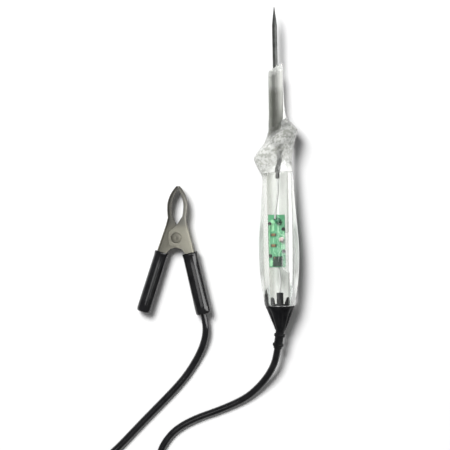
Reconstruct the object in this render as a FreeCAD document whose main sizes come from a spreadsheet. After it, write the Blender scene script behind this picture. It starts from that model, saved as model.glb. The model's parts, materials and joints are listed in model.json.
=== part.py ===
import FreeCAD, Part
import Sketcher
import math
import os
from FreeCAD import Placement, Rotation, Vector

# A hand-held circuit test light: a steel probe in a clear handle that holds an LED board, one lead, and a
# sprung ground clip at the lead's far end. Millimetres. +Y runs along the probe to its tip, +Z is up, and
# the origin is on the surface it lies on, under the middle of the handheld part. A station is the
# distance from the probe's tip, measured back along the handle.

os.makedirs("parts", exist_ok=True)
doc = FreeCAD.newDocument("circuit_test_light")

DIMENSIONS = {
    # handheld part
    "half_length": 102.5,
    "axis_height": 13.2,
    "needle_radius": 1.5,
    "needle_tip_radius": 0.2,
    "needle_tail_radius": 1.2,
    "point_length": 10.8,
    "needle_end": 103.0,
    "ferrule_start": 38.6,
    "ferrule_end": 78.0,
    "ferrule_radius": 3.0,
    "press_gap": 0.05,
    "nose_start": 32.0,
    "nose_cut": 36.2,
    "nose_tilt": 31.0,
    "nose_end": 80.0,
    "nose_front_radius": 4.2,
    "nose_rear_radius": 5.3,
    "shell_end": 179.4,
    "chamber_start": 99.0,
    "chamber_radius": 6.5,
    # circuit board and what it carries
    "board_start": 124.5,
    "board_end": 155.0,
    "board_width": 10.0,
    "board_across": -1.2,
    "board_thickness": 1.6,
    "chip_size": 5.6,
    "chip_height": 1.8,
    "green_lamp_radius": 1.9,
    "red_lamp_radius": 1.5,
    "lamp_height": 3.6,
    "solder_radius": 0.8,
    "resistor_length": 3.2,
    "resistor_width": 1.6,
    "resistor_height": 0.6,
    "wire_radius": 0.6,
    # strain relief
    "crown_start": 173.4,
    "crown_inner_radius": 4.9,
    "crown_outer_radius": 6.4,
    "crown_side_slot": 2.2,
    "crown_upper_slot": 6.4,
    "crown_collar": 1.6,
    "stem_start": 177.5,
    "stem_radius": 4.8,
    "boot_front_radius": 8.8,
    "boot_rear_radius": 3.15,
    "boot_end": 193.8,
    "lead_inner_end": 170.0,
    "lead_bend": 192.5,
    "tail_neck_radius": 2.6,
    "tail_ring_radius": 3.3,
    "tail_ring_width": 2.0,
    "boot_bend_radius": 30.0,
    # lead
    "lead_radius": 2.1,
    "coil_across": -107.0,
    "coil_along": -203.0,
    "coil_inner_radius": 13.9,
    "coil_outer_radius": 32.1,
    "coil_lift": 0.5,
    "coil_height": 8.5,
    "tie_width": 6.0,
    "tie_thickness": 0.45,
    "tie_slack": 0.45,
    "tie_turn": 205.0,
    # clip
    "clip_across": -61.6,
    "clip_along": -34.85,
    "clip_height": 5.8,
    "clip_lean": 3.3,
    "sheet_metal": 0.9,
    "outer_half_width": 4.8,
    "inner_half_width": 3.7,
    "jaw_gap": 0.15,
    "rivet_radius": 1.6,
    "rivet_head_radius": 3.2,
    "rivet_head_height": 0.75,
    "handle_across": 8.4,
    "handle_back": 8.8,
    "handle_splay": 15.3,
    "shank_half_width": 2.9,
    "shank_length": 34.0,
    "grip_length": 38.0,
    "fixed_grip_width": 9.4,
    "moving_grip_width": 8.4,
    "fixed_grip_height": 11.6,
    "moving_grip_height": 9.8,
    "grip_round": 3.0,
    "socket_gap": 0.1,
    "socket_depth": 34.4,
    "spring_wire_radius": 0.5,
    "spring_coil_radius": 2.9,
    "spring_turns": 3.0,
    "screw_back": 14.0,
    "screw_radius": 1.2,
    "screw_head_radius": 2.1,
    "screw_head_height": 1.2,
    "lug_thickness": 0.6,
    "lug_barrel_radius": 1.9,
    "lug_barrel_length": 6.0,
    "lug_tongue_width": 5.0,
    "lug_tongue_lap": 3.0,
    "lead_end_inset": 12.0,
    "lead_end_shift": -0.3,
}

sheet = doc.addObject("Spreadsheet::Sheet", "Dims")
for row, (alias, number) in enumerate(DIMENSIONS.items(), start=1):
    sheet.set(f"A{row}", alias)
    sheet.set(f"B{row}", str(number))
    sheet.setAlias(f"B{row}", alias)
doc.recompute()

ALONG = Rotation(Vector(1, 0, 0), -90)  # turns an object's own +Z to the probe's direction
UPRIGHT = Rotation()

# Barrel of the handle: station and radius of each round section.
BARREL = [
    (88.0, 7.8),
    (96.0, 8.4),
    (104.0, 9.3),
    (115.8, 10.2),
    (127.8, 11.1),
    (139.8, 12.0),
    (151.8, 12.1),
    (163.8, 11.4),
    (173.0, 10.2),
    (179.4, 9.15),
]

# Finger guard: oblique oval sections, each given by its place along the guard's normal, the shift of its
# middle along the slant, and its half widths along the slant and upwards.
GUARD = [
    (13.0, 8.8, 4.6, 4.2),
    (9.0, 7.4, 7.2, 6.6),
    (5.0, 5.2, 10.2, 9.0),
    (2.0, 1.8, 14.4, 12.0),
    (0.0, 0.0, 15.6, 13.2),
    (-3.0, -2.2, 14.2, 12.2),
    (-7.0, -4.4, 12.4, 10.8),
    (-11.5, -6.6, 10.6, 9.2),
    (-15.0, -8.2, 8.6, 7.6),
]
GUARD_MIDDLE = Vector(-0.6, 19.6, 0)

# What stands on the board's upper face: its place across from the board's middle, and its station.
BOARD_PLACES = {
    "led_green": (0.9, 128.4),
    "led_red": (2.7, 139.2),
    "control_chip": (0.35, 151.9),
}
RESISTOR_PLACES = [(-1.9, 136.4), (-1.9, 142.6)]
SOLDER_PLACES = [(-3.9, 129.8), (-3.9, 148.6), (3.9, 133.2), (3.9, 146.0)]

# Rings on the strain relief's tail, as shares of its length.
RING_SHARES = (0.36, 0.82)

# The clip's right half in the clip's own frame, across and forward: the outer edge from the jaw's tip to
# the shank, the ear's inner edge from the shank forward past the rivet, and the edge of the eye up to the
# tip. Where the halves meet, each keeps the jaws' gap from the clip's middle.
JAW_TIP = 31.2
JAW_TIP_WIDTH = 1.0
JAW_OUTER_EDGE = [(6.3, 17.9), (5.6, 11.9), (6.5, 7.6)]
EAR_INNER_EDGE = [(3.4, -6.8), (-4.4, -4.2), (-4.8, 3.6), (-1.5, 6.6)]
EYE_EDGE = [(3.2, 13.2), (3.5, 20.5)]
EYE_REAR, EYE_FRONT = 8.0, 29.2
BELLY_RADIUS, EYE_RADIUS, LIP_RADIUS = 19.5, 26.0, 24.0
HOLLOW_FRONT = [(-1.85, 27.0), (2.98, 27.0)]
HOLLOW_PAST = 8.0  # how far the hollow passes the clip's middle

RUN_SHARE = 0.45  # of a route's shorter run that a corner's arc takes up
DRILL_LENGTH = 8.0

# Lead from the strain relief to the coil, and from the clip's grip to the coil: the route's corners.
TESTER_ROUTE = [
    Vector(-2.06, -102.5, 11.5),
    Vector(-3.15, -109.15, 10.6),
    Vector(-5.8, -115.4, 8.9),
    Vector(-9.7, -121.3, 6.5),
    Vector(-14.9, -127.1, 4.4),
    Vector(-22.0, -132.9, 2.9),
    Vector(-35.6, -138.9, 2.15),
    Vector(-53.1, -144.6, 2.15),
    Vector(-64.0, -150.4, 2.15),
    Vector(-70.3, -156.9, 2.15),
    Vector(-74.5, -164.5, 2.15),
    Vector(-76.4, -176.4, 2.2),
    Vector(-77.2, -188.0, 2.4),
]
CLIP_ROUTE = [
    Vector(-46.113, -81.351, 5.8),
    Vector(-44.907, -87.024, 5.8),
    Vector(-45.0, -93.0, 5.3),
    Vector(-46.5, -99.2, 4.3),
    Vector(-49.2, -105.4, 3.2),
    Vector(-53.0, -112.0, 2.4),
    Vector(-58.0, -119.1, 2.15),
    Vector(-64.4, -126.2, 2.15),
    Vector(-73.2, -134.9, 2.15),
    Vector(-84.4, -145.8, 2.15),
    Vector(-93.3, -154.9, 2.15),
    Vector(-101.6, -163.0, 2.4),
    Vector(-110.4, -169.4, 3.4),
]


def size(alias):
    """The number in the sheet's cell of that name."""
    return DIMENSIONS[alias]


def cell(alias):
    """The name of a sheet cell, as expressions use it."""
    return f"Dims.{alias}"


def along(station):
    """How far along +Y a station lies."""
    return size("half_length") - station


def station_rule(rule):
    """The expression for the place along +Y of a station, itself a cell name or a rule of cells."""
    return f"{cell('half_length')} - ({rule})"


def bind(item, rules):
    """Bind an object's properties to the sheet's cells."""
    for name, rule in rules.items():
        item.setExpression(name, rule)


def handle_axis(rule):
    """Rules that place an object on the handle's axis at a station."""
    return {"Placement.Base.y": station_rule(rule), "Placement.Base.z": cell("axis_height")}


def primitive(kind, name, rules, rotation=UPRIGHT, base=Vector()):
    """A Part primitive with its sizes bound to the sheet."""
    item = doc.addObject(kind, name)
    item.Placement = Placement(base, rotation)
    bind(item, rules)
    return item


def fuse(name, pieces):
    """One solid of several that overlap."""
    item = doc.addObject("Part::MultiFuse", name)
    item.Shapes = pieces
    return item


def cut(name, base, tool):
    """A solid with another taken out of it."""
    item = doc.addObject("Part::Cut", name)
    item.Base = base
    item.Tool = tool
    return item


def group(name, pieces):
    """Several separate solids that share one node."""
    item = doc.addObject("Part::Compound", name)
    item.Links = pieces
    return item


def rod(name, radius, front, rear):
    """A cylinder on the handle's axis between two stations, given as rules."""
    rules = {"Radius": radius, "Height": f"({rear}) - ({front})", **handle_axis(rear)}
    return primitive("Part::Cylinder", name, rules, ALONG)


# Sketched bodies


def origin_plane(body, role):
    """A body's own origin plane, found by its role."""
    return next(item for item in body.Origin.OriginFeatures if item.Role == role)


def new_sketch(body, name, role):
    """An empty sketch on one of the body's origin planes."""
    sketch = body.newObject("Sketcher::SketchObject", name)
    sketch.AttachmentSupport = [(origin_plane(body, role), "")]
    sketch.MapMode = "FlatFace"
    return sketch


def arc_between(start, end, radius):
    """The arc that bulges to the right of the line from start to end, or to its left below zero."""
    if radius < 0:
        start, end = end, start
    chord = end - start
    reach = math.sqrt(radius**2 - (chord.Length / 2) ** 2)
    centre = (start + end) * 0.5 + Vector(-chord.y, chord.x, 0).normalize() * reach
    angles = [math.atan2(point.y - centre.y, point.x - centre.x) for point in (start, end)]
    return Part.ArcOfCircle(Part.Circle(centre, Vector(0, 0, 1), abs(radius)), *angles)


def draw_outline(sketch, corners, arcs=None):
    """A closed outline through corners given as pairs of rules, with arcs {edge: (radius, bulge)}."""
    arcs = arcs or {}
    places = [Vector(sheet.evalExpression(x), sheet.evalExpression(y), 0) for x, y in corners]
    count = len(places)
    first_ends, last_ends = [1] * count, [2] * count
    for edge in range(count):
        start, end = places[edge], places[(edge + 1) % count]
        if edge in arcs:
            rule, bulge = arcs[edge]
            sketch.addGeometry(arc_between(start, end, bulge * sheet.evalExpression(rule)))
            if bulge < 0:
                first_ends[edge], last_ends[edge] = 2, 1
        else:
            sketch.addGeometry(Part.LineSegment(start, end))
    constraints = []
    rules = []
    for edge in range(count):
        follow = (edge + 1) % count
        join = ("Coincident", edge, last_ends[edge], follow, first_ends[follow])
        constraints.append(Sketcher.Constraint(*join))
    for edge, corner in enumerate(corners):
        for axis, rule in zip("XY", corner):
            place = getattr(places[edge], axis.lower())
            reach = (f"Distance{axis}", -1, 1, edge, first_ends[edge], place)
            rules.append((len(constraints), rule))
            constraints.append(Sketcher.Constraint(*reach))
    for edge, (rule, _) in arcs.items():
        rules.append((len(constraints), rule))
        constraints.append(Sketcher.Constraint("Radius", edge, sheet.evalExpression(rule)))
    sketch.addConstraint(constraints)
    for number, rule in rules:
        sketch.setExpression(f"Constraints[{number}]", rule)


def new_body(name, placement):
    """An empty PartDesign body."""
    body = doc.addObject("PartDesign::Body", name)
    body.Placement = placement
    return body


def turned_body(name, corners, placement=None, arcs=None):
    """A body turned about its own Y axis from an outline of radius and height rules."""
    body = new_body(name, placement or Placement(Vector(0, 0, size("axis_height")), UPRIGHT))
    sketch = new_sketch(body, name + "_outline", "XY_Plane")
    draw_outline(sketch, corners, arcs)
    turn = body.newObject("PartDesign::Revolution", name + "_turn")
    turn.Profile = sketch
    turn.ReferenceAxis = (sketch, ["V_Axis"])
    turn.Angle = 360
    if placement is None:
        bind(body, {"Placement.Base.z": cell("axis_height")})
    return body


def pad(body, name, corners, thickness, arcs=None):
    """A pad, centred on the body's XY plane."""
    sketch = new_sketch(body, name + "_outline", "XY_Plane")
    draw_outline(sketch, corners, arcs)
    feature = body.newObject("PartDesign::Pad", name)
    feature.Profile = sketch
    feature.SideType = "Symmetric"
    bind(feature, {"Length": thickness})
    return feature


def pocket(body, name, corners, thickness, arcs=None):
    """A pocket, centred on the body's XY plane."""
    sketch = new_sketch(body, name + "_outline", "XY_Plane")
    draw_outline(sketch, corners, arcs)
    feature = body.newObject("PartDesign::Pocket", name)
    feature.Profile = sketch
    feature.SideType = "Symmetric"
    bind(feature, {"Length": thickness})
    return feature


# Tubes along a route of straight runs joined by tangent arcs


def rounded_wire(route, fixed_radius=None):
    """The route's line, and its arcs' radii: a share of the shorter run, over the half turn's tangent."""
    edges = []
    radii = []
    last = route[0]
    for before, corner, after in zip(route, route[1:], route[2:]):
        arrive, leave = corner - before, after - corner
        half_turn = arrive.getAngle(leave) / 2
        shorter = min(arrive.Length, leave.Length)
        reach = fixed_radius * math.tan(half_turn) if fixed_radius else RUN_SHARE * shorter
        radius = reach / math.tan(half_turn)
        start = corner - arrive.normalize() * reach
        end = corner + leave.normalize() * reach
        inward = (start + end) * 0.5 - corner
        sagitta = radius / math.cos(half_turn) - radius
        edges.append(Part.makeLine(last, start))
        edges.append(Part.Arc(start, corner + inward.normalize() * sagitta, end).toShape())
        radii.append(radius)
        last = end
    edges.append(Part.makeLine(last, route[-1]))
    return Part.Wire(edges), radii


def tube(name, route, radius, fixed_radius=None):
    """A round tube along a route, its volume compared with its section times its length."""
    wire, radii = rounded_wire(route, fixed_radius)
    heading = route[1] - route[0]
    mouth = Part.Wire([Part.makeCircle(radius, route[0], heading)])
    solid = wire.makePipeShell([mouth], True, False)
    if isinstance(solid, Part.Shell):
        solid = Part.Solid(solid)
    item = doc.addObject("Part::Feature", name)
    item.Shape = solid
    item.Placement = Placement()
    share = solid.Volume / (math.pi * radius**2 * wire.Length)
    rounded = ", ".join(f"{radius:.1f}" for radius in radii)
    print(f"{name}: length {wire.Length:.1f} mm, volume share {share:.4f}, arc radii {rounded}")
    return item


# Handheld part


def probe_needle():
    """Hardened steel rod with a long point, and a thinner tail that runs through the bush to the chamber."""
    shaft, tail = cell("needle_radius"), cell("needle_tail_radius")
    tip, point_rear = station_rule("0"), station_rule(cell("point_length"))
    step = station_rule(f"{cell('ferrule_start')} - {cell('press_gap')}")
    rear = station_rule(cell("needle_end"))
    corners = [
        ("0", rear),
        (tail, rear),
        (tail, step),
        (shaft, step),
        (shaft, point_rear),
        (cell("needle_tip_radius"), tip),
        ("0", tip),
    ]
    return turned_body("probe_needle", corners)


def probe_ferrule():
    """Steel bush that the needle's tail is pressed into and the clear nose is moulded round."""
    inner = f"{cell('needle_tail_radius')} + {cell('press_gap')}"
    outer = cell("ferrule_radius")
    front, rear = station_rule(cell("ferrule_start")), station_rule(cell("ferrule_end"))
    corners = [(inner, rear), (outer, rear), (outer, front), (inner, front)]
    return turned_body("probe_ferrule", corners)


def round_section(name, station, radius):
    """A circle on the handle's axis."""
    place = Vector(0, along(station), size("axis_height"))
    circle = primitive("Part::Circle", name, {}, ALONG, place)
    circle.Radius = radius
    bind(circle, {"Placement.Base.z": cell("axis_height")})
    return circle


def loft(name, sections):
    """A solid skinned over sections."""
    item = doc.addObject("Part::Loft", name)
    item.Sections = sections
    item.Solid = True
    return item


def guard_sections():
    """The slanted ovals of the finger guard."""
    slant = Rotation(Vector(0, 0, 1), size("nose_tilt"))
    middle = GUARD_MIDDLE + Vector(0, 0, size("axis_height"))
    sections = []
    for number, (depth, shift, wide, high) in enumerate(GUARD):
        place = middle + slant.multVec(Vector(shift, depth, 0))
        oval = primitive("Part::Ellipse", f"guard_section_{number}", {}, slant.multiply(ALONG), place)
        oval.MajorRadius = wide
        oval.MinorRadius = high
        sections.append(oval)
    return sections


def handle_shell():
    """Clear moulding in one piece: slant-cut nose, slanted finger guard and bellied barrel."""
    nose_rules = {
        "Radius1": cell("nose_rear_radius"),
        "Radius2": cell("nose_front_radius"),
        "Height": f"{cell('nose_end')} - {cell('nose_start')}",
        **handle_axis(cell("nose_end")),
    }
    nose = primitive("Part::Cone", "nose_cone", nose_rules, ALONG)
    waste_side = 30.0
    slant = Rotation(Vector(0, 0, 1), size("nose_tilt"))
    corner = Vector(0, along(size("nose_cut")), size("axis_height"))
    corner += slant.multVec(Vector(-waste_side / 2, 0, -waste_side / 2))
    waste = primitive("Part::Box", "nose_waste", {}, slant, corner)
    waste.Length = waste.Width = waste.Height = waste_side
    guard = loft("guard_loft", guard_sections())
    rounds = [round_section(f"barrel_section_{i}", *pair) for i, pair in enumerate(BARREL)]
    barrel = loft("barrel_loft", rounds)
    solid = fuse("shell_solid", [cut("nose_solid", nose, waste), guard, barrel])
    gap = cell("press_gap")
    chamber = rod("chamber", cell("chamber_radius"), cell("chamber_start"), f"{cell('shell_end')} + 1")
    tail_radius = f"{cell('needle_tail_radius')} + {gap}"
    tail_hole = rod("tail_hole", tail_radius, cell("nose_start"), f"{cell('chamber_start')} + 1")
    bush_radius = f"{cell('ferrule_radius')} + {gap}"
    bush_hole = rod("bush_hole", bush_radius, cell("nose_start"), f"{cell('ferrule_end')} + {gap}")
    return cut("handle_shell", solid, fuse("shell_hollows", [chamber, tail_hole, bush_hole]))


# Circuit board


def board_top():
    """The height of the board's upper face."""
    return size("axis_height") + size("board_thickness") / 2


def on_board(across, station):
    """A point on the board's upper face."""
    return Vector(across + size("board_across"), along(station), board_top())


def board_block(name, place, length, width, height):
    """A block on the board's upper face, its middle at a place across and a station."""
    across, station = place
    rules = {
        "Length": width,
        "Width": length,
        "Height": height,
        "Placement.Base.x": f"{across} + {cell('board_across')} - ({width}) / 2",
        "Placement.Base.y": f"{station_rule(str(station))} - ({length}) / 2",
        "Placement.Base.z": f"{cell('axis_height')} + {cell('board_thickness')} / 2",
    }
    return primitive("Part::Box", name, rules)


def circuit_board():
    """Green laminate board that floats in the handle's chamber on its two wires."""
    half = f"{cell('board_width')} / 2"
    front, rear = station_rule(cell("board_start")), station_rule(cell("board_end"))
    middle = Vector(size("board_across"), 0, size("axis_height"))
    body = new_body("circuit_board", Placement(middle, UPRIGHT))
    corners = [(f"-({half})", rear), (half, rear), (half, front), (f"-({half})", front)]
    pad(body, "board_pad", corners, cell("board_thickness"))
    bind(body, {"Placement.Base.x": cell("board_across"), "Placement.Base.z": cell("axis_height")})
    return body


def lamp(name, radius):
    """A light-emitting diode: a round case with a domed top, standing on the board."""
    place = Placement(on_board(*BOARD_PLACES[name]), Rotation(Vector(1, 0, 0), 90))
    shoulder = f"{cell('lamp_height')} - {radius}"
    corners = [("0", "0"), (radius, "0"), (radius, shoulder), ("0", cell("lamp_height"))]
    return turned_body(name, corners, place, {2: (radius, 1)})


def control_chip():
    """The board's square controller."""
    side = cell("chip_size")
    return board_block("control_chip", BOARD_PLACES["control_chip"], side, side, cell("chip_height"))


def solder_joints():
    """Four solder fillets on the board's upper face."""
    drops = []
    for number, place in enumerate(SOLDER_PLACES):
        drop = primitive("Part::Sphere", f"solder_{number}", {"Radius": cell("solder_radius")})
        drop.Placement.Base = on_board(*place)
        drop.Angle1 = 0
        drops.append(drop)
    return group("solder_joints", drops)


def resistors():
    """Two surface-mount resistors in series with the lamps."""
    sizes = (cell("resistor_width"), cell("resistor_length"), cell("resistor_height"))
    chips = [board_block(f"resistor_{i}", place, *sizes) for i, place in enumerate(RESISTOR_PLACES)]
    return group("resistors", chips)


def probe_lead_wire():
    """Insulated wire from the rear end of the needle's tail to the front of the board."""
    height = size("axis_height")
    resting = board_top() + size("wire_radius") + 0.02
    route = [
        Vector(0, along(size("needle_end")) - 0.05, height),
        Vector(0.1, along(109.0), height + 0.2),
        Vector(-0.6, along(116.0), height + 0.9),
        Vector(-1.6, along(121.5), resting + 0.1),
        Vector(-1.9, along(126.8), resting),
    ]
    return tube("probe_lead_wire", route, size("wire_radius"))


def ground_wire():
    """The lead's own conductor, from the end of its jacket to the underside of the board."""
    height = size("axis_height")
    resting = height - size("board_thickness") / 2 - size("wire_radius") - 0.02
    route = [
        Vector(-0.7, along(150.5), resting),
        Vector(-0.1, along(156.5), resting - 0.1),
        Vector(0.6, along(162.0), height - 0.8),
        Vector(0.1, along(169.85), height),
    ]
    return tube("ground_wire", route, size("wire_radius"))


# Strain relief


def retainer_crown():
    """Collar with four prongs, pressed into the handle's rear round the strain relief's stem."""
    outer, inner = cell("crown_outer_radius"), cell("crown_inner_radius")
    rear = f"{cell('shell_end')} - {cell('press_gap')}"
    sleeve = rod("crown_sleeve", outer, cell("crown_start"), rear)
    bore = rod("crown_bore", inner, f"{cell('crown_start')} - 1", f"{rear} + 1")
    slots = [bore]
    for number, width in enumerate(("crown_side_slot", "crown_upper_slot")):
        slot = doc.addObject("Part::Box", f"crown_slot_{number}")
        length = size("shell_end") - size("crown_collar") - size("crown_start") + 1
        rear_end = along(size("shell_end") - size("crown_collar"))
        turn = Rotation(Vector(0, 1, 0), 90 * number)
        corner = turn.multVec(Vector(-10, 0, -size(width) / 2))
        slot.Length = 20
        slot.Width = length
        bind(slot, {"Height": cell(width)})
        slot.Placement = Placement(Vector(corner.x, rear_end, size("axis_height") + corner.z), turn)
        slots.append(slot)
    return cut("retainer_crown", sleeve, fuse("crown_hollows", slots))


def inner_route():
    """The lead's route inside the handle and the strain relief."""
    height = size("axis_height")
    start, bend = along(size("lead_inner_end")), along(size("lead_bend"))
    return [Vector(0, start, height), Vector(0, bend, height), TESTER_ROUTE[0]]


def strain_relief():
    """Black moulded boot: stem, tapered shoulder and a ribbed tail that leans with the lead."""
    stem = rod("boot_stem", cell("stem_radius"), cell("stem_start"), f"{cell('shell_end')} + 1")
    cone_rules = {
        "Radius1": cell("boot_rear_radius"),
        "Radius2": cell("boot_front_radius"),
        "Height": f"{cell('boot_end')} - {cell('shell_end')} - {cell('press_gap')}",
        **handle_axis(cell("boot_end")),
    }
    shoulder = primitive("Part::Cone", "boot_shoulder", cone_rules, ALONG)
    start, end = inner_route()[1], TESTER_ROUTE[0]
    lean = Rotation(Vector(0, 0, 1), end - start)
    length = (end - start).Length
    neck = primitive("Part::Cylinder", "tail_neck", {"Radius": cell("tail_neck_radius")}, lean, start)
    neck.Height = length
    pieces = [stem, shoulder, neck]
    for number, share in enumerate(RING_SHARES):
        middle = length * share
        for side, back in (("front", -1), ("rear", 1)):
            ring = primitive(
                "Part::Cone",
                f"tail_ring_{number}_{side}",
                {"Height": f"{cell('tail_ring_width')} / 2"},
                lean,
                start + (end - start).normalize() * (middle + min(back, 0) * size("tail_ring_width") / 2),
            )
            wide, narrow = cell("tail_ring_radius"), cell("tail_neck_radius")
            first, last = (narrow, wide) if back < 0 else (wide, narrow)
            bind(ring, {"Radius1": first, "Radius2": last})
            pieces.append(ring)
    bore_route = inner_route()
    heading = (bore_route[-1] - bore_route[1]).normalize()
    bore_route[-1] = bore_route[-1] + heading * 2
    bore = tube("boot_bore", bore_route, size("lead_radius") + size("press_gap"), size("boot_bend_radius"))
    return cut("strain_relief", fuse("boot_solid", pieces), bore)


# Lead


def cord_coil():
    """The outer shape of the lead's wound length, a flat ring."""
    rules = {
        "Height": cell("coil_height"),
        "Placement.Base.x": cell("coil_across"),
        "Placement.Base.y": cell("coil_along"),
        "Placement.Base.z": cell("coil_lift"),
    }
    outer = primitive("Part::Cylinder", "coil_outer", {"Radius": cell("coil_outer_radius"), **rules})
    inner = primitive("Part::Cylinder", "coil_inner", {"Radius": cell("coil_inner_radius"), **rules})
    return cut("cord_coil", outer, inner)


def cord_tie():
    """Strap closed round the coil."""
    gap = cell("press_gap")
    wall = cell("tie_thickness")
    inner_low = f"{cell('coil_inner_radius')} - {cell('tie_slack')}"
    inner_length = f"{cell('coil_outer_radius')} + {gap} - ({inner_low})"
    turn = Rotation(Vector(0, 0, 1), size("tie_turn"))
    middle = Vector(size("coil_across"), size("coil_along"), 0)
    blocks = []
    for name, grow in (("outer", f"({wall} - {gap})"), ("inner", "0")):
        block = doc.addObject("Part::Box", f"tie_{name}")
        low = sheet.evalExpression(f"{inner_low} - {grow}")
        corner = middle + turn.multVec(Vector(low, -size("tie_width") / 2, 0))
        base = sheet.evalExpression(f"{cell('coil_lift')} - {gap} - {grow}")
        block.Placement = Placement(Vector(corner.x, corner.y, base), turn)
        bind(
            block,
            {
                "Length": f"{inner_length} + 2 * {grow}",
                "Width": cell("tie_width"),
                "Height": f"{cell('coil_height')} + 2 * {gap} + 2 * {grow}",
            },
        )
        blocks.append(block)
    return cut("cord_tie", *blocks)


# Clip


def clip_frame():
    """The clip's own frame: its pivot, with +Y to the jaws' tip."""
    place = Vector(size("clip_across"), size("clip_along"), size("clip_height"))
    return Placement(place, Rotation(Vector(0, 0, 1), -size("clip_lean")))


def handle_frame(side):
    """A handle's frame: +Y forward along it, +X to the clip's right. side is 1 for the right handle."""
    start = Vector(side * size("handle_across"), -size("handle_back"), 0)
    return clip_frame().multiply(Placement(start, Rotation(Vector(0, 0, 1), side * size("handle_splay"))))


def shank_corner(side, outward, back):
    """A corner on the shank, by how far outward from its middle line and how far back it is."""
    splay = math.radians(size("handle_splay"))
    across = size("handle_across") + back * math.sin(splay) + outward * math.cos(splay)
    forward = -size("handle_back") - back * math.cos(splay) + outward * math.sin(splay)
    return side * across, forward


def mirrored(side, corners):
    """Corners on the clip's right, or their mirror images on its left, as rules."""
    return [(f"{side * x:.4f}", f"{y:.4f}") for x, y in corners]


def clip_half(name, side, half_width):
    """One pressed-steel half of the clip: a jaw, an ear and a channel-shaped shank."""
    body = new_body(name, clip_frame())
    gap, metal = size("jaw_gap"), size("sheet_metal")
    half, length = size("shank_half_width"), size("shank_length")
    outline = [
        (gap, JAW_TIP),
        (JAW_TIP_WIDTH, JAW_TIP),
        *JAW_OUTER_EDGE,
        shank_corner(1, half, -0.6),
        shank_corner(1, half, length),
        shank_corner(1, -half, length),
        shank_corner(1, -half, -0.3),
        *EAR_INNER_EDGE,
        (gap, EYE_REAR),
        *EYE_EDGE,
        (gap, EYE_FRONT),
    ]
    belly, eye = 1, len(outline) - 3
    arcs = {
        belly: (str(BELLY_RADIUS), -side),
        eye: (str(EYE_RADIUS), side),
        eye + 1: (str(LIP_RADIUS), side),
    }
    pad(body, name + "_blank", mirrored(side, outline), f"2 * {half_width}", arcs)
    inside = [
        *HOLLOW_FRONT,
        *((across - metal, forward) for across, forward in JAW_OUTER_EDGE),
        shank_corner(1, half - metal, -0.6),
        shank_corner(1, half - metal, length + 2),
        shank_corner(1, -half - 2, length + 2),
        shank_corner(1, -half - 2, 2),
        (-HOLLOW_PAST, -9),
        (-HOLLOW_PAST, HOLLOW_FRONT[0][1]),
    ]
    depth = f"2 * ({half_width} - {cell('sheet_metal')})"
    inner_belly = {1: (f"{BELLY_RADIUS} - {cell('sheet_metal')}", -side)}
    pocket(body, name + "_hollow", mirrored(side, inside), depth, inner_belly)
    hole_radius = f"{cell('rivet_radius')} + {cell('press_gap')}"
    sketch = new_sketch(body, name + "_hole_outline", "XY_Plane")
    sketch.addGeometry(Part.Circle(Vector(), Vector(0, 0, 1), sheet.evalExpression(hole_radius)))
    sketch.addConstraint(Sketcher.Constraint("Coincident", 0, 3, -1, 1))
    sketch.addConstraint(Sketcher.Constraint("Radius", 0, sheet.evalExpression(hole_radius)))
    sketch.setExpression("Constraints[1]", hole_radius)
    hole = body.newObject("PartDesign::Pocket", name + "_hole")
    hole.Profile = sketch
    hole.SideType = "Symmetric"
    bind(hole, {"Length": f"2 * {half_width} + 2"})
    return body


def cross_drill(name, back):
    """A cutter across the fixed shank, so far back from the shank's start, as wide as the screw needs."""
    frame = handle_frame(1)
    turn = frame.Rotation.multiply(Rotation(Vector(0, 1, 0), 90))
    rules = {"Radius": f"{cell('screw_radius')} + {cell('press_gap')}"}
    drill = primitive("Part::Cylinder", name, rules, turn, frame.multVec(Vector(0, -back, 0)))
    drill.Height = DRILL_LENGTH
    return drill


def clip_fixed_jaw():
    """The outer half, on the lead's side, with a hole in its shank for the terminal screw."""
    body = clip_half("clip_fixed_jaw_blank", 1, cell("outer_half_width"))
    return cut("clip_fixed_jaw", body, cross_drill("screw_hole", size("screw_back")))


def clip_moving_jaw():
    """The inner half, which turns on the rivet."""
    return clip_half("clip_moving_jaw", -1, cell("inner_half_width"))


def clip_rivet():
    """Steel rivet with a flat head on each side, the clip's pivot."""
    head = cell("rivet_head_radius")
    shaft = cell("rivet_radius")
    inner = f"{cell('outer_half_width')} + {cell('press_gap')} / 2"
    outer = f"{inner} + {cell('rivet_head_height')}"
    corners = [
        ("0", f"-({outer})"),
        (head, f"-({outer})"),
        (head, f"-({inner})"),
        (shaft, f"-({inner})"),
        (shaft, inner),
        (head, inner),
        (head, outer),
        ("0", outer),
    ]
    place = clip_frame().multiply(Placement(Vector(), Rotation(Vector(1, 0, 0), 90)))
    return turned_body("clip_rivet", corners, place)


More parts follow.
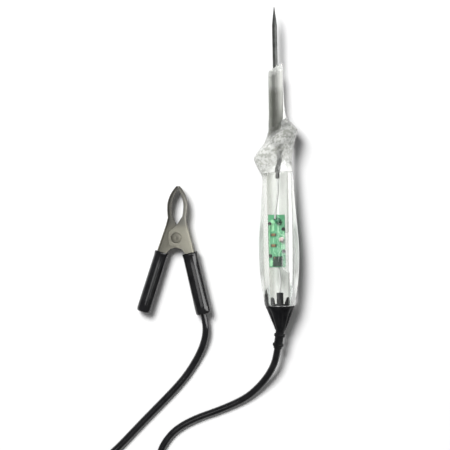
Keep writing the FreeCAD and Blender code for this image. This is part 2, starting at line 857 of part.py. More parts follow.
def clip_spring():
    """Torsion spring coiled round the rivet, with a leg against the web of each shank."""
    wire = size("spring_wire_radius")
    mean = size("spring_coil_radius")
    pitch = 2 * wire + 0.08
    turns = size("spring_turns")
    leg_end = Vector(*shank_corner(1, size("shank_half_width") - size("sheet_metal") - wire - 0.1, 9.0), 0)
    reach = leg_end.Length
    tangent_turn = math.acos(mean / reach) + math.atan2(leg_end.y, leg_end.x)
    start = Vector(mean * math.cos(tangent_turn), mean * math.sin(tangent_turn), 0)
    height = pitch * turns / 2
    helix = Part.makeHelix(pitch, pitch * turns, mean)
    helix.rotate(Vector(), Vector(0, 0, 1), math.degrees(tangent_turn))
    helix.translate(Vector(0, 0, -height))
    first = helix.Edges[0]
    mouth_place = first.valueAt(first.FirstParameter)
    mouth = Part.Wire([Part.makeCircle(wire, mouth_place, first.tangentAt(first.FirstParameter))])
    coil = Part.Wire(helix.Edges).makePipeShell([mouth], True, True)
    legs = []
    for side, level in ((1, -height), (-1, height)):
        begin = Vector(side * start.x, start.y, level)
        end = Vector(side * leg_end.x, leg_end.y, level)
        legs.append(Part.makeCylinder(wire, (end - begin).Length, begin, end - begin))
    item = doc.addObject("Part::Feature", "clip_spring")
    item.Shape = coil.fuse(legs[0]).fuse(legs[1])
    item.Placement = clip_frame()
    return item


def grip(name, side, width, height, hole):
    """A soft black sleeve on a shank, closed at its rear end."""
    body = new_body(name, handle_frame(side))
    half = f"{width} / 2"
    long = cell("grip_length")
    corners = [(f"-{half}", f"-{long}"), (half, f"-{long}"), (half, "0"), (f"-{half}", "0")]
    block = pad(body, name + "_block", corners, height)
    doc.recompute()
    edges = []
    for number, edge in enumerate(block.Shape.Edges, start=1):
        first, last = edge.Vertexes[0].Point, edge.Vertexes[-1].Point
        if abs(first.y - last.y) > 1:
            edges.append(f"Edge{number}")
    rounding = body.newObject("PartDesign::Fillet", name + "_rounding")
    rounding.Base = (block, edges)
    bind(rounding, {"Radius": cell("grip_round")})
    half_shank = f"({cell('shank_half_width')} + {cell('socket_gap')})"
    depth = cell("socket_depth")
    shank_width = cell("outer_half_width" if side > 0 else "inner_half_width")
    inside = [
        (f"-{half_shank}", f"-{depth}"),
        (half_shank, f"-{depth}"),
        (half_shank, "1"),
        (f"-{half_shank}", "1"),
    ]
    pocket(body, name + "_socket", inside, f"2 * {shank_width} + {cell('socket_gap')}")
    if not hole:
        return body
    frame = handle_frame(side)
    turn = frame.Rotation.multiply(ALONG)
    place = frame.multVec(Vector(size("lead_end_shift"), -size("grip_length") - 1, 0))
    rules = {"Radius": f"{cell('lead_radius')} + {cell('press_gap')}"}
    drill = primitive("Part::Cylinder", name + "_drill", rules, turn, place)
    drill.Height = DRILL_LENGTH
    return cut(name.replace("_blank", ""), body, drill)


def cord_clip_end():
    """The last of the lead's jacket, inside the fixed grip."""
    frame = handle_frame(1)
    rear = frame.multVec(Vector(size("lead_end_shift"), -size("grip_length"), 0))
    rules = {"Radius": cell("lead_radius"), "Height": cell("lead_end_inset")}
    return primitive("Part::Cylinder", "cord_clip_end", rules, frame.Rotation.multiply(ALONG), rear)


def lead_lug():
    """Tinned copper lug: a barrel crimped on the conductor, and a flat tongue under the screw."""
    frame = handle_frame(1)
    web = size("shank_half_width") - size("sheet_metal")
    thick = size("lug_thickness")
    rear = -size("grip_length") + size("lead_end_inset") + size("press_gap")
    barrel_turn = frame.Rotation.multiply(ALONG)
    barrel = primitive(
        "Part::Cylinder",
        "lug_barrel",
        {"Radius": cell("lug_barrel_radius"), "Height": cell("lug_barrel_length")},
        barrel_turn,
        frame.multVec(Vector(-0.1, rear, 0)),
    )
    front = rear + size("lug_barrel_length")
    tongue = primitive("Part::Box", "lug_tongue", {"Length": cell("lug_thickness")}, frame.Rotation)
    tongue_rear = front - 1.5
    tongue.Width = size("lug_tongue_lap") - size("screw_back") - tongue_rear
    bind(tongue, {"Height": cell("lug_tongue_width")})
    corner = Vector(web - thick - size("press_gap"), tongue_rear, -size("lug_tongue_width") / 2)
    tongue.Placement.Base = frame.multVec(corner)
    drill = cross_drill("lug_hole", size("screw_back"))
    return cut("lead_lug", fuse("lug_solid", [barrel, tongue]), drill)


def terminal_screw():
    """Pan-head screw that holds the lug against the fixed shank's web."""
    frame = handle_frame(1)
    web = size("shank_half_width") - size("sheet_metal")
    head_face = web - size("lug_thickness") - 0.1
    turn = frame.Rotation.multiply(Rotation(Vector(0, 1, 0), 90))
    head = primitive(
        "Part::Cylinder",
        "screw_head",
        {"Radius": cell("screw_head_radius"), "Height": cell("screw_head_height")},
        turn,
        frame.multVec(Vector(head_face - size("screw_head_height"), -size("screw_back"), 0)),
    )
    shaft = primitive(
        "Part::Cylinder",
        "screw_shaft",
        {"Radius": cell("screw_radius")},
        turn,
        frame.multVec(Vector(head_face - 0.5, -size("screw_back"), 0)),
    )
    shaft.Height = size("shank_half_width") - head_face + 0.5
    return fuse("terminal_screw", [head, shaft])


def build():
    """Every sub-part, in the order it would be put together."""
    parts = [
        probe_needle(),
        probe_ferrule(),
        handle_shell(),
        circuit_board(),
        lamp("led_green", cell("green_lamp_radius")),
        lamp("led_red", cell("red_lamp_radius")),
        control_chip(),
        resistors(),
        solder_joints(),
        probe_lead_wire(),
        ground_wire(),
        retainer_crown(),
        strain_relief(),
        tube("cord_inner_end", inner_route(), size("lead_radius"), size("boot_bend_radius")),
        tube("cord_tester_run", TESTER_ROUTE, size("lead_radius")),
        cord_coil(),
        cord_tie(),
        tube("cord_clip_run", CLIP_ROUTE, size("lead_radius")),
        clip_fixed_jaw(),
        clip_moving_jaw(),
        clip_rivet(),
        clip_spring(),
        grip("fixed_grip_blank", 1, cell("fixed_grip_width"), cell("fixed_grip_height"), True),
        grip("moving_grip", -1, cell("moving_grip_width"), cell("moving_grip_height"), False),
        cord_clip_end(),
        lead_lug(),
        terminal_screw(),
    ]
    doc.recompute()
    return parts


def check_and_export(parts):
    """Stop at any failed object or bad shape, then write each sub-part's file."""
    for item in doc.Objects:
        if "Invalid" in item.State or "Error" in item.State:
            raise RuntimeError(f"{item.Label} is {item.State}")
        if item.TypeId == "PartDesign::Pocket" and item.Shape.Volume > item.BaseFeature.Shape.Volume - 1:
            raise RuntimeError(f"{item.Label} takes nothing away")
    for item in parts:
        if item.Shape.isNull() or not item.Shape.isValid():
            raise RuntimeError(f"{item.Label} has no valid shape")
    for item in parts:
        item.Shape.exportStep(f"parts/{item.Label}.step")
        print(f"{item.Label}: {len(item.Shape.Solids)} solid(s), {item.Shape.Volume:.1f} mm3")


check_and_export(build())
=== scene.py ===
import json
from math import acos, atan2, cos, pi, radians, sin, sqrt, tau

import bmesh
import bpy
from mathutils import Matrix, Vector


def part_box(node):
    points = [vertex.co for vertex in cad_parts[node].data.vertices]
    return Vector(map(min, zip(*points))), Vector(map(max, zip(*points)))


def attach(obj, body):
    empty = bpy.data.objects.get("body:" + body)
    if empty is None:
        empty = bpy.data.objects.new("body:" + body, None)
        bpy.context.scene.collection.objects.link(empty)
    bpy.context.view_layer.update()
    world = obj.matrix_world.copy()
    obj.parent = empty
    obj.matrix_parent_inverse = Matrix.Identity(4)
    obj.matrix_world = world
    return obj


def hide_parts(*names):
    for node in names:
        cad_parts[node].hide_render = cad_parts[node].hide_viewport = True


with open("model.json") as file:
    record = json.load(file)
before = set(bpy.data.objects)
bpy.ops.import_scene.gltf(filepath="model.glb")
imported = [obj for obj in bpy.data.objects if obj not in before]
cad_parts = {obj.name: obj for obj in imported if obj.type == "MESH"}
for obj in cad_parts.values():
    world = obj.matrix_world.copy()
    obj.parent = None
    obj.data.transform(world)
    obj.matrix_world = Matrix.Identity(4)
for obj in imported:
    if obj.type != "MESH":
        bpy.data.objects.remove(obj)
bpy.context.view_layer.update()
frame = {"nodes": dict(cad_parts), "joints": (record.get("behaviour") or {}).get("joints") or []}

MM = 0.001
TESTER = "test_light"
MOVING = "moving_half"

# The handheld part's own line, read from the frame: the tip, and the axis above the floor.
needle_low, needle_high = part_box("probe_needle")
TIP = needle_high[1]
AXIS = (needle_low[2] + needle_high[2]) / 2
PIVOT = Vector(frame["joints"][0]["pos_m"])

SLANT = radians(31)  # of the finger guard and the nose's cut
SLANT_HEADING = Vector((-sin(SLANT), cos(SLANT), 0))  # forward, square to the guard
GUARD_MIDDLE = Vector((-0.6, 19.6, 0)) * MM
CLIP_LEAN = radians(3.3)
CLIP_HEADING = Vector((sin(CLIP_LEAN), cos(CLIP_LEAN), 0))  # to the jaws' tip
HANDLE_SPLAY = radians(15.3)
HANDLE_START = (8.4, -8.8)  # in the clip's frame, in millimetres
LEAD_RADIUS = 2.1 * MM

KEY_AIM = Vector((-0.03, -0.03, 0))
KEY_PLACE = Vector((-0.89, 1.14, 2.6))
KEY_LEAN = atan2(KEY_AIM.x - KEY_PLACE.x, KEY_PLACE.z)  # of its rays about the handle's line
TRAPPED_DEPTH = 3.5  # a ray that has met more surfaces than this is let out of the clear moulding


def station(distance):
    """The place along +Y that is this many millimetres behind the tip."""
    return TIP - distance * MM


# Materials


class Nodes:
    """The nodes of a material or of the room, and what joins them."""

    def __init__(self, tree):
        self.nodes = tree.nodes
        self.links = tree.links

    def node(self, kind, **values):
        """A new node with its properties, and its inputs by name in a dictionary."""
        made = self.nodes.new(kind)
        for name, value in values.pop("inputs", {}).items():
            made.inputs[name].default_value = value
        for name, value in values.items():
            setattr(made, name, value)
        return made

    def join(self, source, target):
        self.links.new(source, target)

    def arithmetic(self, operation, *values):
        """One Math node fed by sockets or by numbers."""
        made = self.node("ShaderNodeMath", operation=operation)
        for socket, value in zip(made.inputs, values):
            if isinstance(value, float):
                socket.default_value = value
            else:
                self.join(value, socket)
        return made.outputs["Value"]

    def product(self, first, second):
        return self.arithmetic("MULTIPLY", first, second)

    def sum(self, first, second):
        return self.arithmetic("ADD", first, second)

    def either(self, first, second):
        return self.arithmetic("MAXIMUM", first, second)

    def trapped(self, rays):
        """1 for a ray that has been bent or thrown back many times, and 0 for any other."""
        return self.arithmetic("GREATER_THAN", rays.outputs["Ray Depth"], TRAPPED_DEPTH)


class Material(Nodes):
    """A procedural material: a Principled shader and the nodes that feed it."""

    def __init__(self, name, roughness, metallic=0.0):
        self.material = bpy.data.materials.new(name)
        self.material.use_nodes = True
        super().__init__(self.material.node_tree)
        self.shader = self.nodes["Principled BSDF"]
        self.set("Roughness", roughness)
        self.set("Metallic", metallic)
        self.place = self.nodes.new("ShaderNodeTexCoord").outputs["Object"]

    def set(self, socket, value):
        self.shader.inputs[socket].default_value = value

    def feed(self, socket, source):
        self.join(source, self.shader.inputs[socket])

    def stretched(self, scale, turn=0.0):
        """Object coordinates turned about Z and scaled, for a grain that runs one way."""
        mapping = self.node("ShaderNodeMapping", vector_type="TEXTURE")
        mapping.inputs["Rotation"].default_value = (0, 0, turn)
        mapping.inputs["Scale"].default_value = [1 / part for part in scale]
        self.join(self.place, mapping.inputs["Vector"])
        return mapping.outputs["Vector"]

    def noise(self, scale, detail=3.0, vector=None):
        """Noise with so many cells to the metre."""
        made = self.node("ShaderNodeTexNoise", inputs={"Scale": scale, "Detail": detail})
        self.join(vector or self.place, made.inputs["Vector"])
        return made.outputs["Fac"]

    def colours(self, factor, dark, light, low=0.35, high=0.65):
        """Feed the base colour with two tones mixed by a factor."""
        ramp = self.node("ShaderNodeValToRGB")
        for element, position, tone in zip(ramp.color_ramp.elements, (low, high), (dark, light)):
            element.position = position
            element.color = (*tone, 1)
        self.join(factor, ramp.inputs["Fac"])
        self.feed("Base Color", ramp.outputs["Color"])

    def roughness(self, factor, low, high):
        """Feed the roughness between two values."""
        self.feed("Roughness", self.span(factor, (0.0, 1.0), (low, high), "LINEAR"))

    def span(self, source, before, after, ease="SMOOTHSTEP"):
        """A value carried from one range to another."""
        made = self.node("ShaderNodeMapRange", interpolation_type=ease)
        made.inputs["From Min"].default_value, made.inputs["From Max"].default_value = before
        made.inputs["To Min"].default_value, made.inputs["To Max"].default_value = after
        self.join(source, made.inputs["Value"])
        return made.outputs["Result"]

    def along(self, direction):
        """How far the place lies along a direction."""
        made = self.node("ShaderNodeVectorMath", operation="DOT_PRODUCT")
        self.join(self.place, made.inputs[0])
        made.inputs[1].default_value = direction
        return made.outputs["Value"]

    def open_way(self, share):
        """Let a share of the rays go straight through, and give back the shader that passes them."""
        clear = self.node("ShaderNodeBsdfTransparent")
        mix = self.node("ShaderNodeMixShader")
        self.join(share, mix.inputs["Fac"])
        self.join(self.shader.outputs["BSDF"], mix.inputs[1])
        self.join(clear.outputs["BSDF"], mix.inputs[2])
        self.join(mix.outputs["Shader"], self.nodes["Material Output"].inputs["Surface"])
        return clear

    def bump(self, factor, depth, strength=0.5):
        """Feed the normal with a relief of a depth in metres."""
        relief = self.node("ShaderNodeBump", inputs={"Strength": strength, "Distance": depth})
        self.join(factor, relief.inputs["Height"])
        self.feed("Normal", relief.outputs["Normal"])

    def grain(self, scale, low, high, turn=0.0):
        """Fine scratches that run one way, as a relief and as roughness between two values."""
        lines = self.noise(1.0, 4.0, self.stretched(scale, turn))
        self.roughness(lines, low, high)
        self.bump(lines, 0.03 * MM)


def steel(name, dark, light, rough, scratches):
    """Metal with a fine directional grain and blotches of wear."""
    made = Material(name, rough, 1.0)
    made.colours(made.noise(260.0, 4.0), dark, light)
    made.grain(scratches, rough * 0.8, rough * 1.35)
    return made


def bush_steel(name):
    """Pressed bush with a painted highlight along its right side, darker and greener towards the guard."""
    made = Material(name, 0.38, 1.0)
    forward = made.along((0, 1, 0))
    front = made.span(forward, (0.050, 0.056), (0.08, 0.42))
    right = made.span(made.along((1, 0, 0)), (-0.0004, 0.0022), (0.0, 1.0))
    # Painted highlight: the base colour is lighter along the right side, in place of a lamp's reflection
    # there.
    painted_highlight = made.product(right, made.span(forward, (0.033, 0.046), (0.12, 0.5)))
    cloud_and_painted_light = made.sum(made.sum(front, painted_highlight), made.product(made.noise(300.0, 4.0), 0.12))
    made.colours(cloud_and_painted_light, (0.10, 0.105, 0.085), (0.72, 0.72, 0.70), 0.0, 1.0)
    made.grain((2200, 160, 2200), 0.26, 0.38)
    return made


def plated_sheet(name):
    """Satin plated sheet, clouded all over, with painted shade darkening it along the jaws."""
    made = Material(name, 0.38, 1.0)
    ears = PIVOT.dot(CLIP_HEADING)
    # Painted shade: the sheet's colour turns darker past the ears, along the jaws.
    painted_jaw_shade = made.span(made.along(CLIP_HEADING), (ears + 0.004, ears + 0.010), (0.85, 0.25))
    cloud_and_painted_light = made.sum(painted_jaw_shade, made.product(made.noise(260.0, 4.0), 0.3))
    made.colours(cloud_and_painted_light, (0.140, 0.136, 0.128), (0.31, 0.30, 0.25), 0.15, 1.0)
    made.grain((500, 2200, 500), 0.30, 0.50, 0.05)
    return made


def plastic(name, dark, light, rough, scale=700.0, depth=0.00003, gloss=0.5):
    """Moulded plastic or rubber with a slight mottle and a fine skin."""
    made = Material(name, rough)
    made.set("Specular IOR Level", gloss)
    blotches = made.noise(180.0, 4.0)
    made.colours(blotches, dark, light)
    made.roughness(blotches, rough * 0.85, rough * 1.2)
    made.bump(made.noise(scale), depth)
    return made


# The clear moulding: stretches over which its look fades, in metres forward or across.
GUARD_REAR, GUARD_FRONT = (-0.017, -0.002), (0.004, 0.008)  # from the guard's middle
NOSE_FACE = (0.0525, 0.0545)
FLANK_FRONT, FLANK_SIDE = (0.004, 0.012), (-0.0070, -0.0025)  # of the painted shade on the left flank
FAR_EDGE, NEAR_EDGE = (0.0043, 0.0063), (-0.0085, -0.0060)  # from the axis, square to the key's rays
BARREL_FRONT = (0.028, 0.040)
# The darker tone serves both the guard's grey pits and the painted shade on the barrel's left flank.
CLEAR_TONE, PITS_AND_SHADE_TONE = (0.90, 0.912, 0.885), (0.45, 0.46, 0.42)
CLEAR_ROUGHNESS, FROST_ROUGHNESS, FROST_LOSS = 0.03, 0.20, 0.42


def clear_plastic(name, clearness, shade, bend=1.47):
    """Clear moulding with a mottled guard; lamps shine through it, least on the side away from the key."""
    made = Material(name, CLEAR_ROUGHNESS)
    made.set("IOR", bend)
    forward = made.along(SLANT_HEADING)
    guard = guard_share(made, forward)
    mottle = made.noise(560.0, 2.0)
    tint_and_shade_moulding(made, forward, guard, mottle)
    frost_moulding(made, forward, guard, clearness)
    flow = made.noise(1.0, 2.0, made.stretched((420.0, 60.0, 420.0)))
    made.bump(made.sum(made.product(mottle, guard), made.product(flow, 0.05)), 1.0 * MM, 0.6)
    rays = made.node("ShaderNodeLightPath")
    lighting = made.either(rays.outputs["Is Shadow Ray"], rays.outputs["Is Diffuse Ray"])
    straight = made.open_way(made.either(lighting, made.trapped(rays)))
    made.join(passed_light(made, forward, shade), straight.inputs["Color"])
    return made


def guard_share(made, forward):
    """1 on the finger guard, and 0 behind it and in front of it."""
    middle = GUARD_MIDDLE.dot(SLANT_HEADING)
    rear = made.span(forward, shifted(GUARD_REAR, middle), (0.0, 1.0))
    return made.product(rear, made.span(forward, shifted(GUARD_FRONT, middle), (1.0, 0.0)))


def shifted(pair, distance):
    return [value + distance for value in pair]


def tint_and_shade_moulding(made, forward, guard, mottle):
    """Colour: clear, with grey pits on the guard and painted shade on the barrel's left flank."""
    pits = made.product(made.span(mottle, (0.42, 0.60), (0.15, 1.0)), guard)
    # Painted shade: the base colour darkens over the barrel's left flank.
    left = made.span(made.along((1, 0, 0)), FLANK_SIDE, (0.55, 0.0))
    flank_shade = made.product(left, made.span(forward, FLANK_FRONT, (1.0, 0.0)))
    made.colours(made.sum(pits, flank_shade), CLEAR_TONE, PITS_AND_SHADE_TONE, 0.0, 1.0)


def frost_moulding(made, forward, guard, clearness):
    """The guard and the nose's cut face are frosted: rougher, and less clear."""
    frosted = made.sum(guard, made.span(forward, NOSE_FACE, (0.0, 0.6)))
    made.feed("Transmission Weight", made.sum(made.product(frosted, -FROST_LOSS), clearness))
    made.feed("Roughness", made.sum(made.product(frosted, FROST_ROUGHNESS), CLEAR_ROUGHNESS))


def passed_light(made, forward, shade):
    """The share of the lamps' light that comes through: least at the barrel's edge away from the key."""
    across = made.along((cos(KEY_LEAN), 0, sin(KEY_LEAN)))
    axis = AXIS * sin(KEY_LEAN)
    far_side = made.span(across, shifted(FAR_EDGE, axis), (0.0, 1.0 - shade))
    near_side = made.span(across, shifted(NEAR_EDGE, axis), (0.28 * (1.0 - shade), 0.0))
    barrel = made.span(forward, BARREL_FRONT, (1.0, 0.0))
    return made.span(made.product(made.sum(far_side, near_side), barrel), (0.0, 1.0), (1.0, 0.0))


def laminate(name, dark, light, rough, gloss, thin):
    """Plastic that lets a share of the lamps' light through to what lies under it."""
    made = plastic(name, dark, light, rough, gloss=gloss)
    rays = made.node("ShaderNodeLightPath")
    made.open_way(made.product(rays.outputs["Is Shadow Ray"], thin))
    return made


def lamp_case(name, colour, glow):
    """Tinted lamp case, glossy and partly clear."""
    made = Material(name, 0.12)
    made.set("Transmission Weight", 0.35)
    made.set("IOR", 1.5)
    made.colours(made.noise(900.0), colour, glow)
    made.bump(made.noise(1500.0), 0.00002, 0.3)
    return made


BLACK = (0.005, 0.005, 0.006)
NEAR_BLACK = (0.012, 0.012, 0.013)

materials = {
    "needle": steel("ground_steel", (0.15, 0.155, 0.15), (0.22, 0.225, 0.22), 0.45, (2500, 120, 2500)),
    "ferrule": bush_steel("bush_steel"),
    "clear": clear_plastic("clear_skin", 0.985, 0.12),
    "clear_inside": clear_plastic("clear_chamber_wall", 1.0, 0.95, 1.43),
    "wire": plastic("wire_jacket", (0.50, 0.51, 0.50), (0.66, 0.67, 0.66), 0.45),
    "board": laminate("board_mask", (0.09, 0.34, 0.17), (0.20, 0.50, 0.30), 0.34, 0.2, 0.8),
    "track": plastic("board_track", (0.30, 0.70, 0.38), (0.40, 0.78, 0.48), 0.30, gloss=0.3),
    "lamp_green": lamp_case("green_lamp_case", (0.01, 0.16, 0.07), (0.02, 0.26, 0.12)),
    # Painted glow: the pink case is made near white in place of the lit lamp's light; it gives off no
    # light.
    "lamp_red": lamp_case("pink_lamp_case_painted_glow", (0.95, 0.72, 0.70), (1.0, 0.84, 0.83)),
    "chip": laminate("chip_case", (0.03, 0.05, 0.04), (0.06, 0.09, 0.075), 0.42, 0.15, 0.7),
    "resistor": plastic("resistor_body", (0.20, 0.12, 0.05), (0.32, 0.21, 0.10), 0.40),
    "solder": steel("solder_alloy", (0.10, 0.11, 0.11), (0.20, 0.21, 0.21), 0.50, (900, 900, 900)),
    "crown": plastic("collar_plastic", BLACK, NEAR_BLACK, 0.40, gloss=0.12),
    "boot": plastic("boot_rubber", BLACK, NEAR_BLACK, 0.40, 900.0, gloss=0.16),
    "jacket": plastic("lead_jacket", BLACK, NEAR_BLACK, 0.17, 1100.0, 0.00002),
    "tie": plastic("tie_strap", BLACK, (0.03, 0.03, 0.03), 0.55, gloss=0.3),
    "clip": plated_sheet("plated_sheet"),
    "rivet": steel("rivet_steel", (0.27, 0.26, 0.215), (0.37, 0.355, 0.30), 0.50, (900, 900, 900)),
    "spring": steel("spring_steel", (0.10, 0.10, 0.10), (0.20, 0.20, 0.20), 0.35, (1500, 1500, 1500)),
    "grip": plastic("grip_vinyl", BLACK, NEAR_BLACK, 0.13, 800.0, 0.00002),
    "lug": steel("tinned_copper", (0.50, 0.46, 0.40), (0.68, 0.64, 0.58), 0.30, (900, 900, 900)),
    "screw": steel("screw_steel", (0.42, 0.42, 0.40), (0.60, 0.60, 0.57), 0.28, (900, 900, 900)),
}

# The CAD nodes that nothing replaces, and their materials.
KEPT_NODES = {
    "cord_inner_end": "jacket",
    "cord_clip_end": "jacket",
    "lead_lug": "lug",
    "terminal_screw": "screw",
}


def dress_frame():
    """Give every CAD node that stays its material."""
    for node, name in KEPT_NODES.items():
        item = frame["nodes"][node]
        if not item.material_slots:
            item.data.materials.append(None)
        for place in item.material_slots:
            place.link = "OBJECT"
            place.material = materials[name].material


# Shapes


def add_object(name, data, material, body=TESTER):
    """Link an object, dress it, and ride it on its body."""
    item = bpy.data.objects.new(name, data)
    bpy.context.scene.collection.objects.link(item)
    data.materials.append(materials[material].material)
    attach(item, body)
    return item


def add_mesh(name, shape, material, sharp=35.0, body=TESTER):
    """An object from a bmesh, smooth but for the edges sharper than an angle in degrees."""
    bmesh.ops.recalc_face_normals(shape, faces=shape.faces)
    mesh = bpy.data.meshes.new(name)
    shape.to_mesh(mesh)
    shape.free()
    mesh.polygons.foreach_set("use_smooth", [True] * len(mesh.polygons))
    mesh.set_sharp_from_angle(angle=radians(sharp))
    return add_object(name, mesh, material, body)


def angles(count):
    """Equal steps round a whole turn."""
    return [tau * step / count for step in range(count)]


def swung(radius, angle, height=0.0):
    """A point at a radius and an angle about Z."""
    return Vector((radius * cos(angle), radius * sin(angle), height))


def oval(centre, slant, wide, high, count):
    """A ring of points about the handle's line, in a plane turned about Z."""
    across = Vector((cos(slant), sin(slant), 0))
    ring = []
    for angle in angles(count):
        ring.append(centre + across * wide * cos(angle) + Vector((0, 0, high * sin(angle))))
    return ring


def bridge(shape, rings, closed=False):
    """Faces between rings of points; a ring of one point is a tip."""
    rows = [[shape.verts.new(point) for point in ring] for ring in rings]
    pairs = list(zip(rows, rows[1:]))
    if closed:
        pairs.append((rows[-1], rows[0]))
    for first, second in pairs:
        count = max(len(first), len(second))
        for step in range(count):
            after = (step + 1) % count
            corners = [first[step % len(first)], first[after % len(first)]]
            corners += [second[after % len(second)], second[step % len(second)]]
            shape.faces.new(list(dict.fromkeys(corners)))
    return rows


def capped(shape, rings):
    """Faces between rings of points, and across the first and the last."""
    rows = bridge(shape, rings)
    shape.faces.new(rows[0])
    shape.faces.new(rows[-1])
    return rows


def blend_rows(rows, per_span):
    """Smooth values between rows of numbers, by Catmull-Rom with the ends held."""
    made = []
    for number in range(len(rows) - 1):
        before = rows[max(number - 1, 0)]
        start, end = rows[number], rows[number + 1]
        after = rows[min(number + 2, len(rows) - 1)]
        for step in range(per_span):
            part = step / per_span
            made.append([catmull(*values, part) for values in zip(before, start, end, after)])
    made.append(list(rows[-1]))
    return made


def catmull(before, start, end, after, part):
    """One Catmull-Rom value."""
    slope_in, slope_out = (end - before) / 2, (after - start) / 2
    square, cube = part * part, part**3
    return (
        start * (2 * cube - 3 * square + 1)
        + end * (3 * square - 2 * cube)
        + slope_in * (cube - 2 * square + part)
        + slope_out * (cube - square)
    )


# Camera, light and floor

VIEW_CENTRE = (-32.1 * MM, -27.7 * MM)
VIEW_WIDTH = 0.270
CAMERA_HEIGHT = 1.2
CAMERA_ROLL = radians(-1.18)
SENSOR = 36.0
ROOM_DIM = 0.165
THROUGH_RISE, CAMERA_RISE = 0.42, 0.87  # added for rays from the clear moulding, and for the camera


def make_camera():
    """A long lens straight above, framing as much as the view is wide at the handle's height."""
    data = bpy.data.cameras.new("camera")
    data.sensor_width = SENSOR
    data.lens = SENSOR * CAMERA_HEIGHT / VIEW_WIDTH
    data.clip_end = 20
    camera = bpy.data.objects.new("camera", data)
    camera.location = (*VIEW_CENTRE, AXIS + CAMERA_HEIGHT)
    camera.rotation_euler = (0, 0, CAMERA_ROLL)
    bpy.context.scene.collection.objects.link(camera)
    bpy.context.scene.camera = camera


def area_lamp(name, place, size, power, fill):
    """A soft rectangular lamp over the part, that either fills matt surfaces or shows in glossy ones."""
    data = bpy.data.lights.new(name, "AREA")
    data.shape = "RECTANGLE"
    data.size, data.size_y = size
    data.energy = power
    lamp = bpy.data.objects.new(name, data)
    lamp.location = place
    heading = KEY_AIM - Vector(place)
    lamp.rotation_euler = heading.to_track_quat("-Z", "Y").to_euler()
    lamp.visible_diffuse = fill
    lamp.visible_glossy = not fill
    lamp.visible_transmission = False
    bpy.context.scene.collection.objects.link(lamp)


def make_room():
    """A dim room that is white to the camera and bright when it is seen through the clear moulding."""
    world = bpy.data.worlds.new("room")
    world.use_nodes = True
    room = Nodes(world.node_tree)
    rays = room.node("ShaderNodeLightPath")
    through = room.either(rays.outputs["Is Transmission Ray"], room.trapped(rays))
    seen_through = room.arithmetic("MULTIPLY_ADD", through, THROUGH_RISE, ROOM_DIM)
    strength = room.arithmetic("MULTIPLY_ADD", rays.outputs["Is Camera Ray"], CAMERA_RISE, seen_through)
    background = room.nodes["Background"]
    background.inputs["Color"].default_value = (1, 1, 1, 1)
    room.join(strength, background.inputs["Strength"])
    bpy.context.scene.world = world


def make_light():
    """A key at the upper left, a bright panel at the right and a card overhead for the glossy parts."""
    make_room()
    area_lamp("key", KEY_PLACE, (1.1, 1.1), power=104, fill=True)
    area_lamp("panel", (1.05, -0.05, 1.15), (0.45, 1.8), power=15, fill=False)
    area_lamp("card", (-0.1, 0.1, 1.9), (0.5, 0.5), power=2.0, fill=False)


def make_floor():
    """A plain white floor."""
    shape = bmesh.new()
    bmesh.ops.create_grid(shape, x_segments=1, y_segments=1, size=4.0)
    mesh = bpy.data.meshes.new("floor")
    shape.to_mesh(mesh)
    shape.free()
    made = Material("floor_paper", 0.9)
    made.colours(made.noise(3.0), (0.93, 0.93, 0.93), (0.95, 0.95, 0.95))
    mesh.materials.append(made.material)
    floor = bpy.data.objects.new("floor", mesh)
    floor.location = (0, 0, -0.1 * MM)
    bpy.context.scene.collection.objects.link(floor)


# The lead

TESTER_ROUTE = [
    (-2.06, -102.5, 11.5),
    (-3.15, -109.15, 10.6),
    (-5.8, -115.4, 8.9),
    (-9.7, -121.3, 6.5),
    (-14.9, -127.1, 4.4),
    (-22.0, -132.9, 2.9),
    (-35.6, -138.9, 2.15),
    (-53.1, -144.6, 2.15),
    (-64.0, -150.4, 2.15),
    (-70.3, -156.9, 2.15),
    (-74.5, -164.5, 2.15),
    (-76.4, -176.4, 2.2),
    (-77.2, -188.0, 2.4),
]
CLIP_ROUTE = [
    (-46.113, -81.351, 5.8),
    (-44.907, -87.024, 5.8),
    (-45.0, -93.0, 5.3),
    (-46.5, -99.2, 4.3),
    (-49.2, -105.4, 3.2),
    (-53.0, -112.0, 2.4),
    (-58.0, -119.1, 2.15),
    (-64.4, -126.2, 2.15),
    (-73.2, -134.9, 2.15),
    (-84.4, -145.8, 2.15),
    (-93.3, -154.9, 2.15),
    (-101.6, -163.0, 2.4),
    (-110.4, -169.4, 3.4),
]
CLIP_PIECES = ["jaw_fixed", "jaw_moving", "rivet", "spring_coil", "spring_leg", "grip_fixed", "grip_moving"]
COIL_RADII = (30.0, 16.0)  # of the outermost and innermost turns
COIL_TURNS = 6 + 237 / 360
COIL_LAYERS = (2.65, 6.85)  # heights of the two layers of turns
CLIMB_START, CLIMB_SHARE = 0.46, 0.08  # of the wound length, where it climbs to the upper layer
TURN_POINTS = 14


def coil_middle():
    """The middle of the wound length, on the floor."""
    low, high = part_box("cord_coil")
    return Vector(((low[0] + high[0]) / 2, (low[1] + high[1]) / 2, 0))


def coil_points():
    """The wound length: clockwise from the tester's lead, in along the lower layer, out along the upper."""
    middle = coil_middle()
    count = round(COIL_TURNS * TURN_POINTS)
    points = []
    for step in range(1, count + 1):
        part = step / count
        inward = 1 - abs(2 * part - 1)
        radius = COIL_RADII[0] + (COIL_RADII[1] - COIL_RADII[0]) * inward
        climb = min(max((part - CLIMB_START) / CLIMB_SHARE, 0), 1)
        height = COIL_LAYERS[0] + (COIL_LAYERS[1] - COIL_LAYERS[0]) * climb * climb * (3 - 2 * climb)
        points.append(middle + swung(radius * MM, -tau * COIL_TURNS * part, height * MM))
    return points


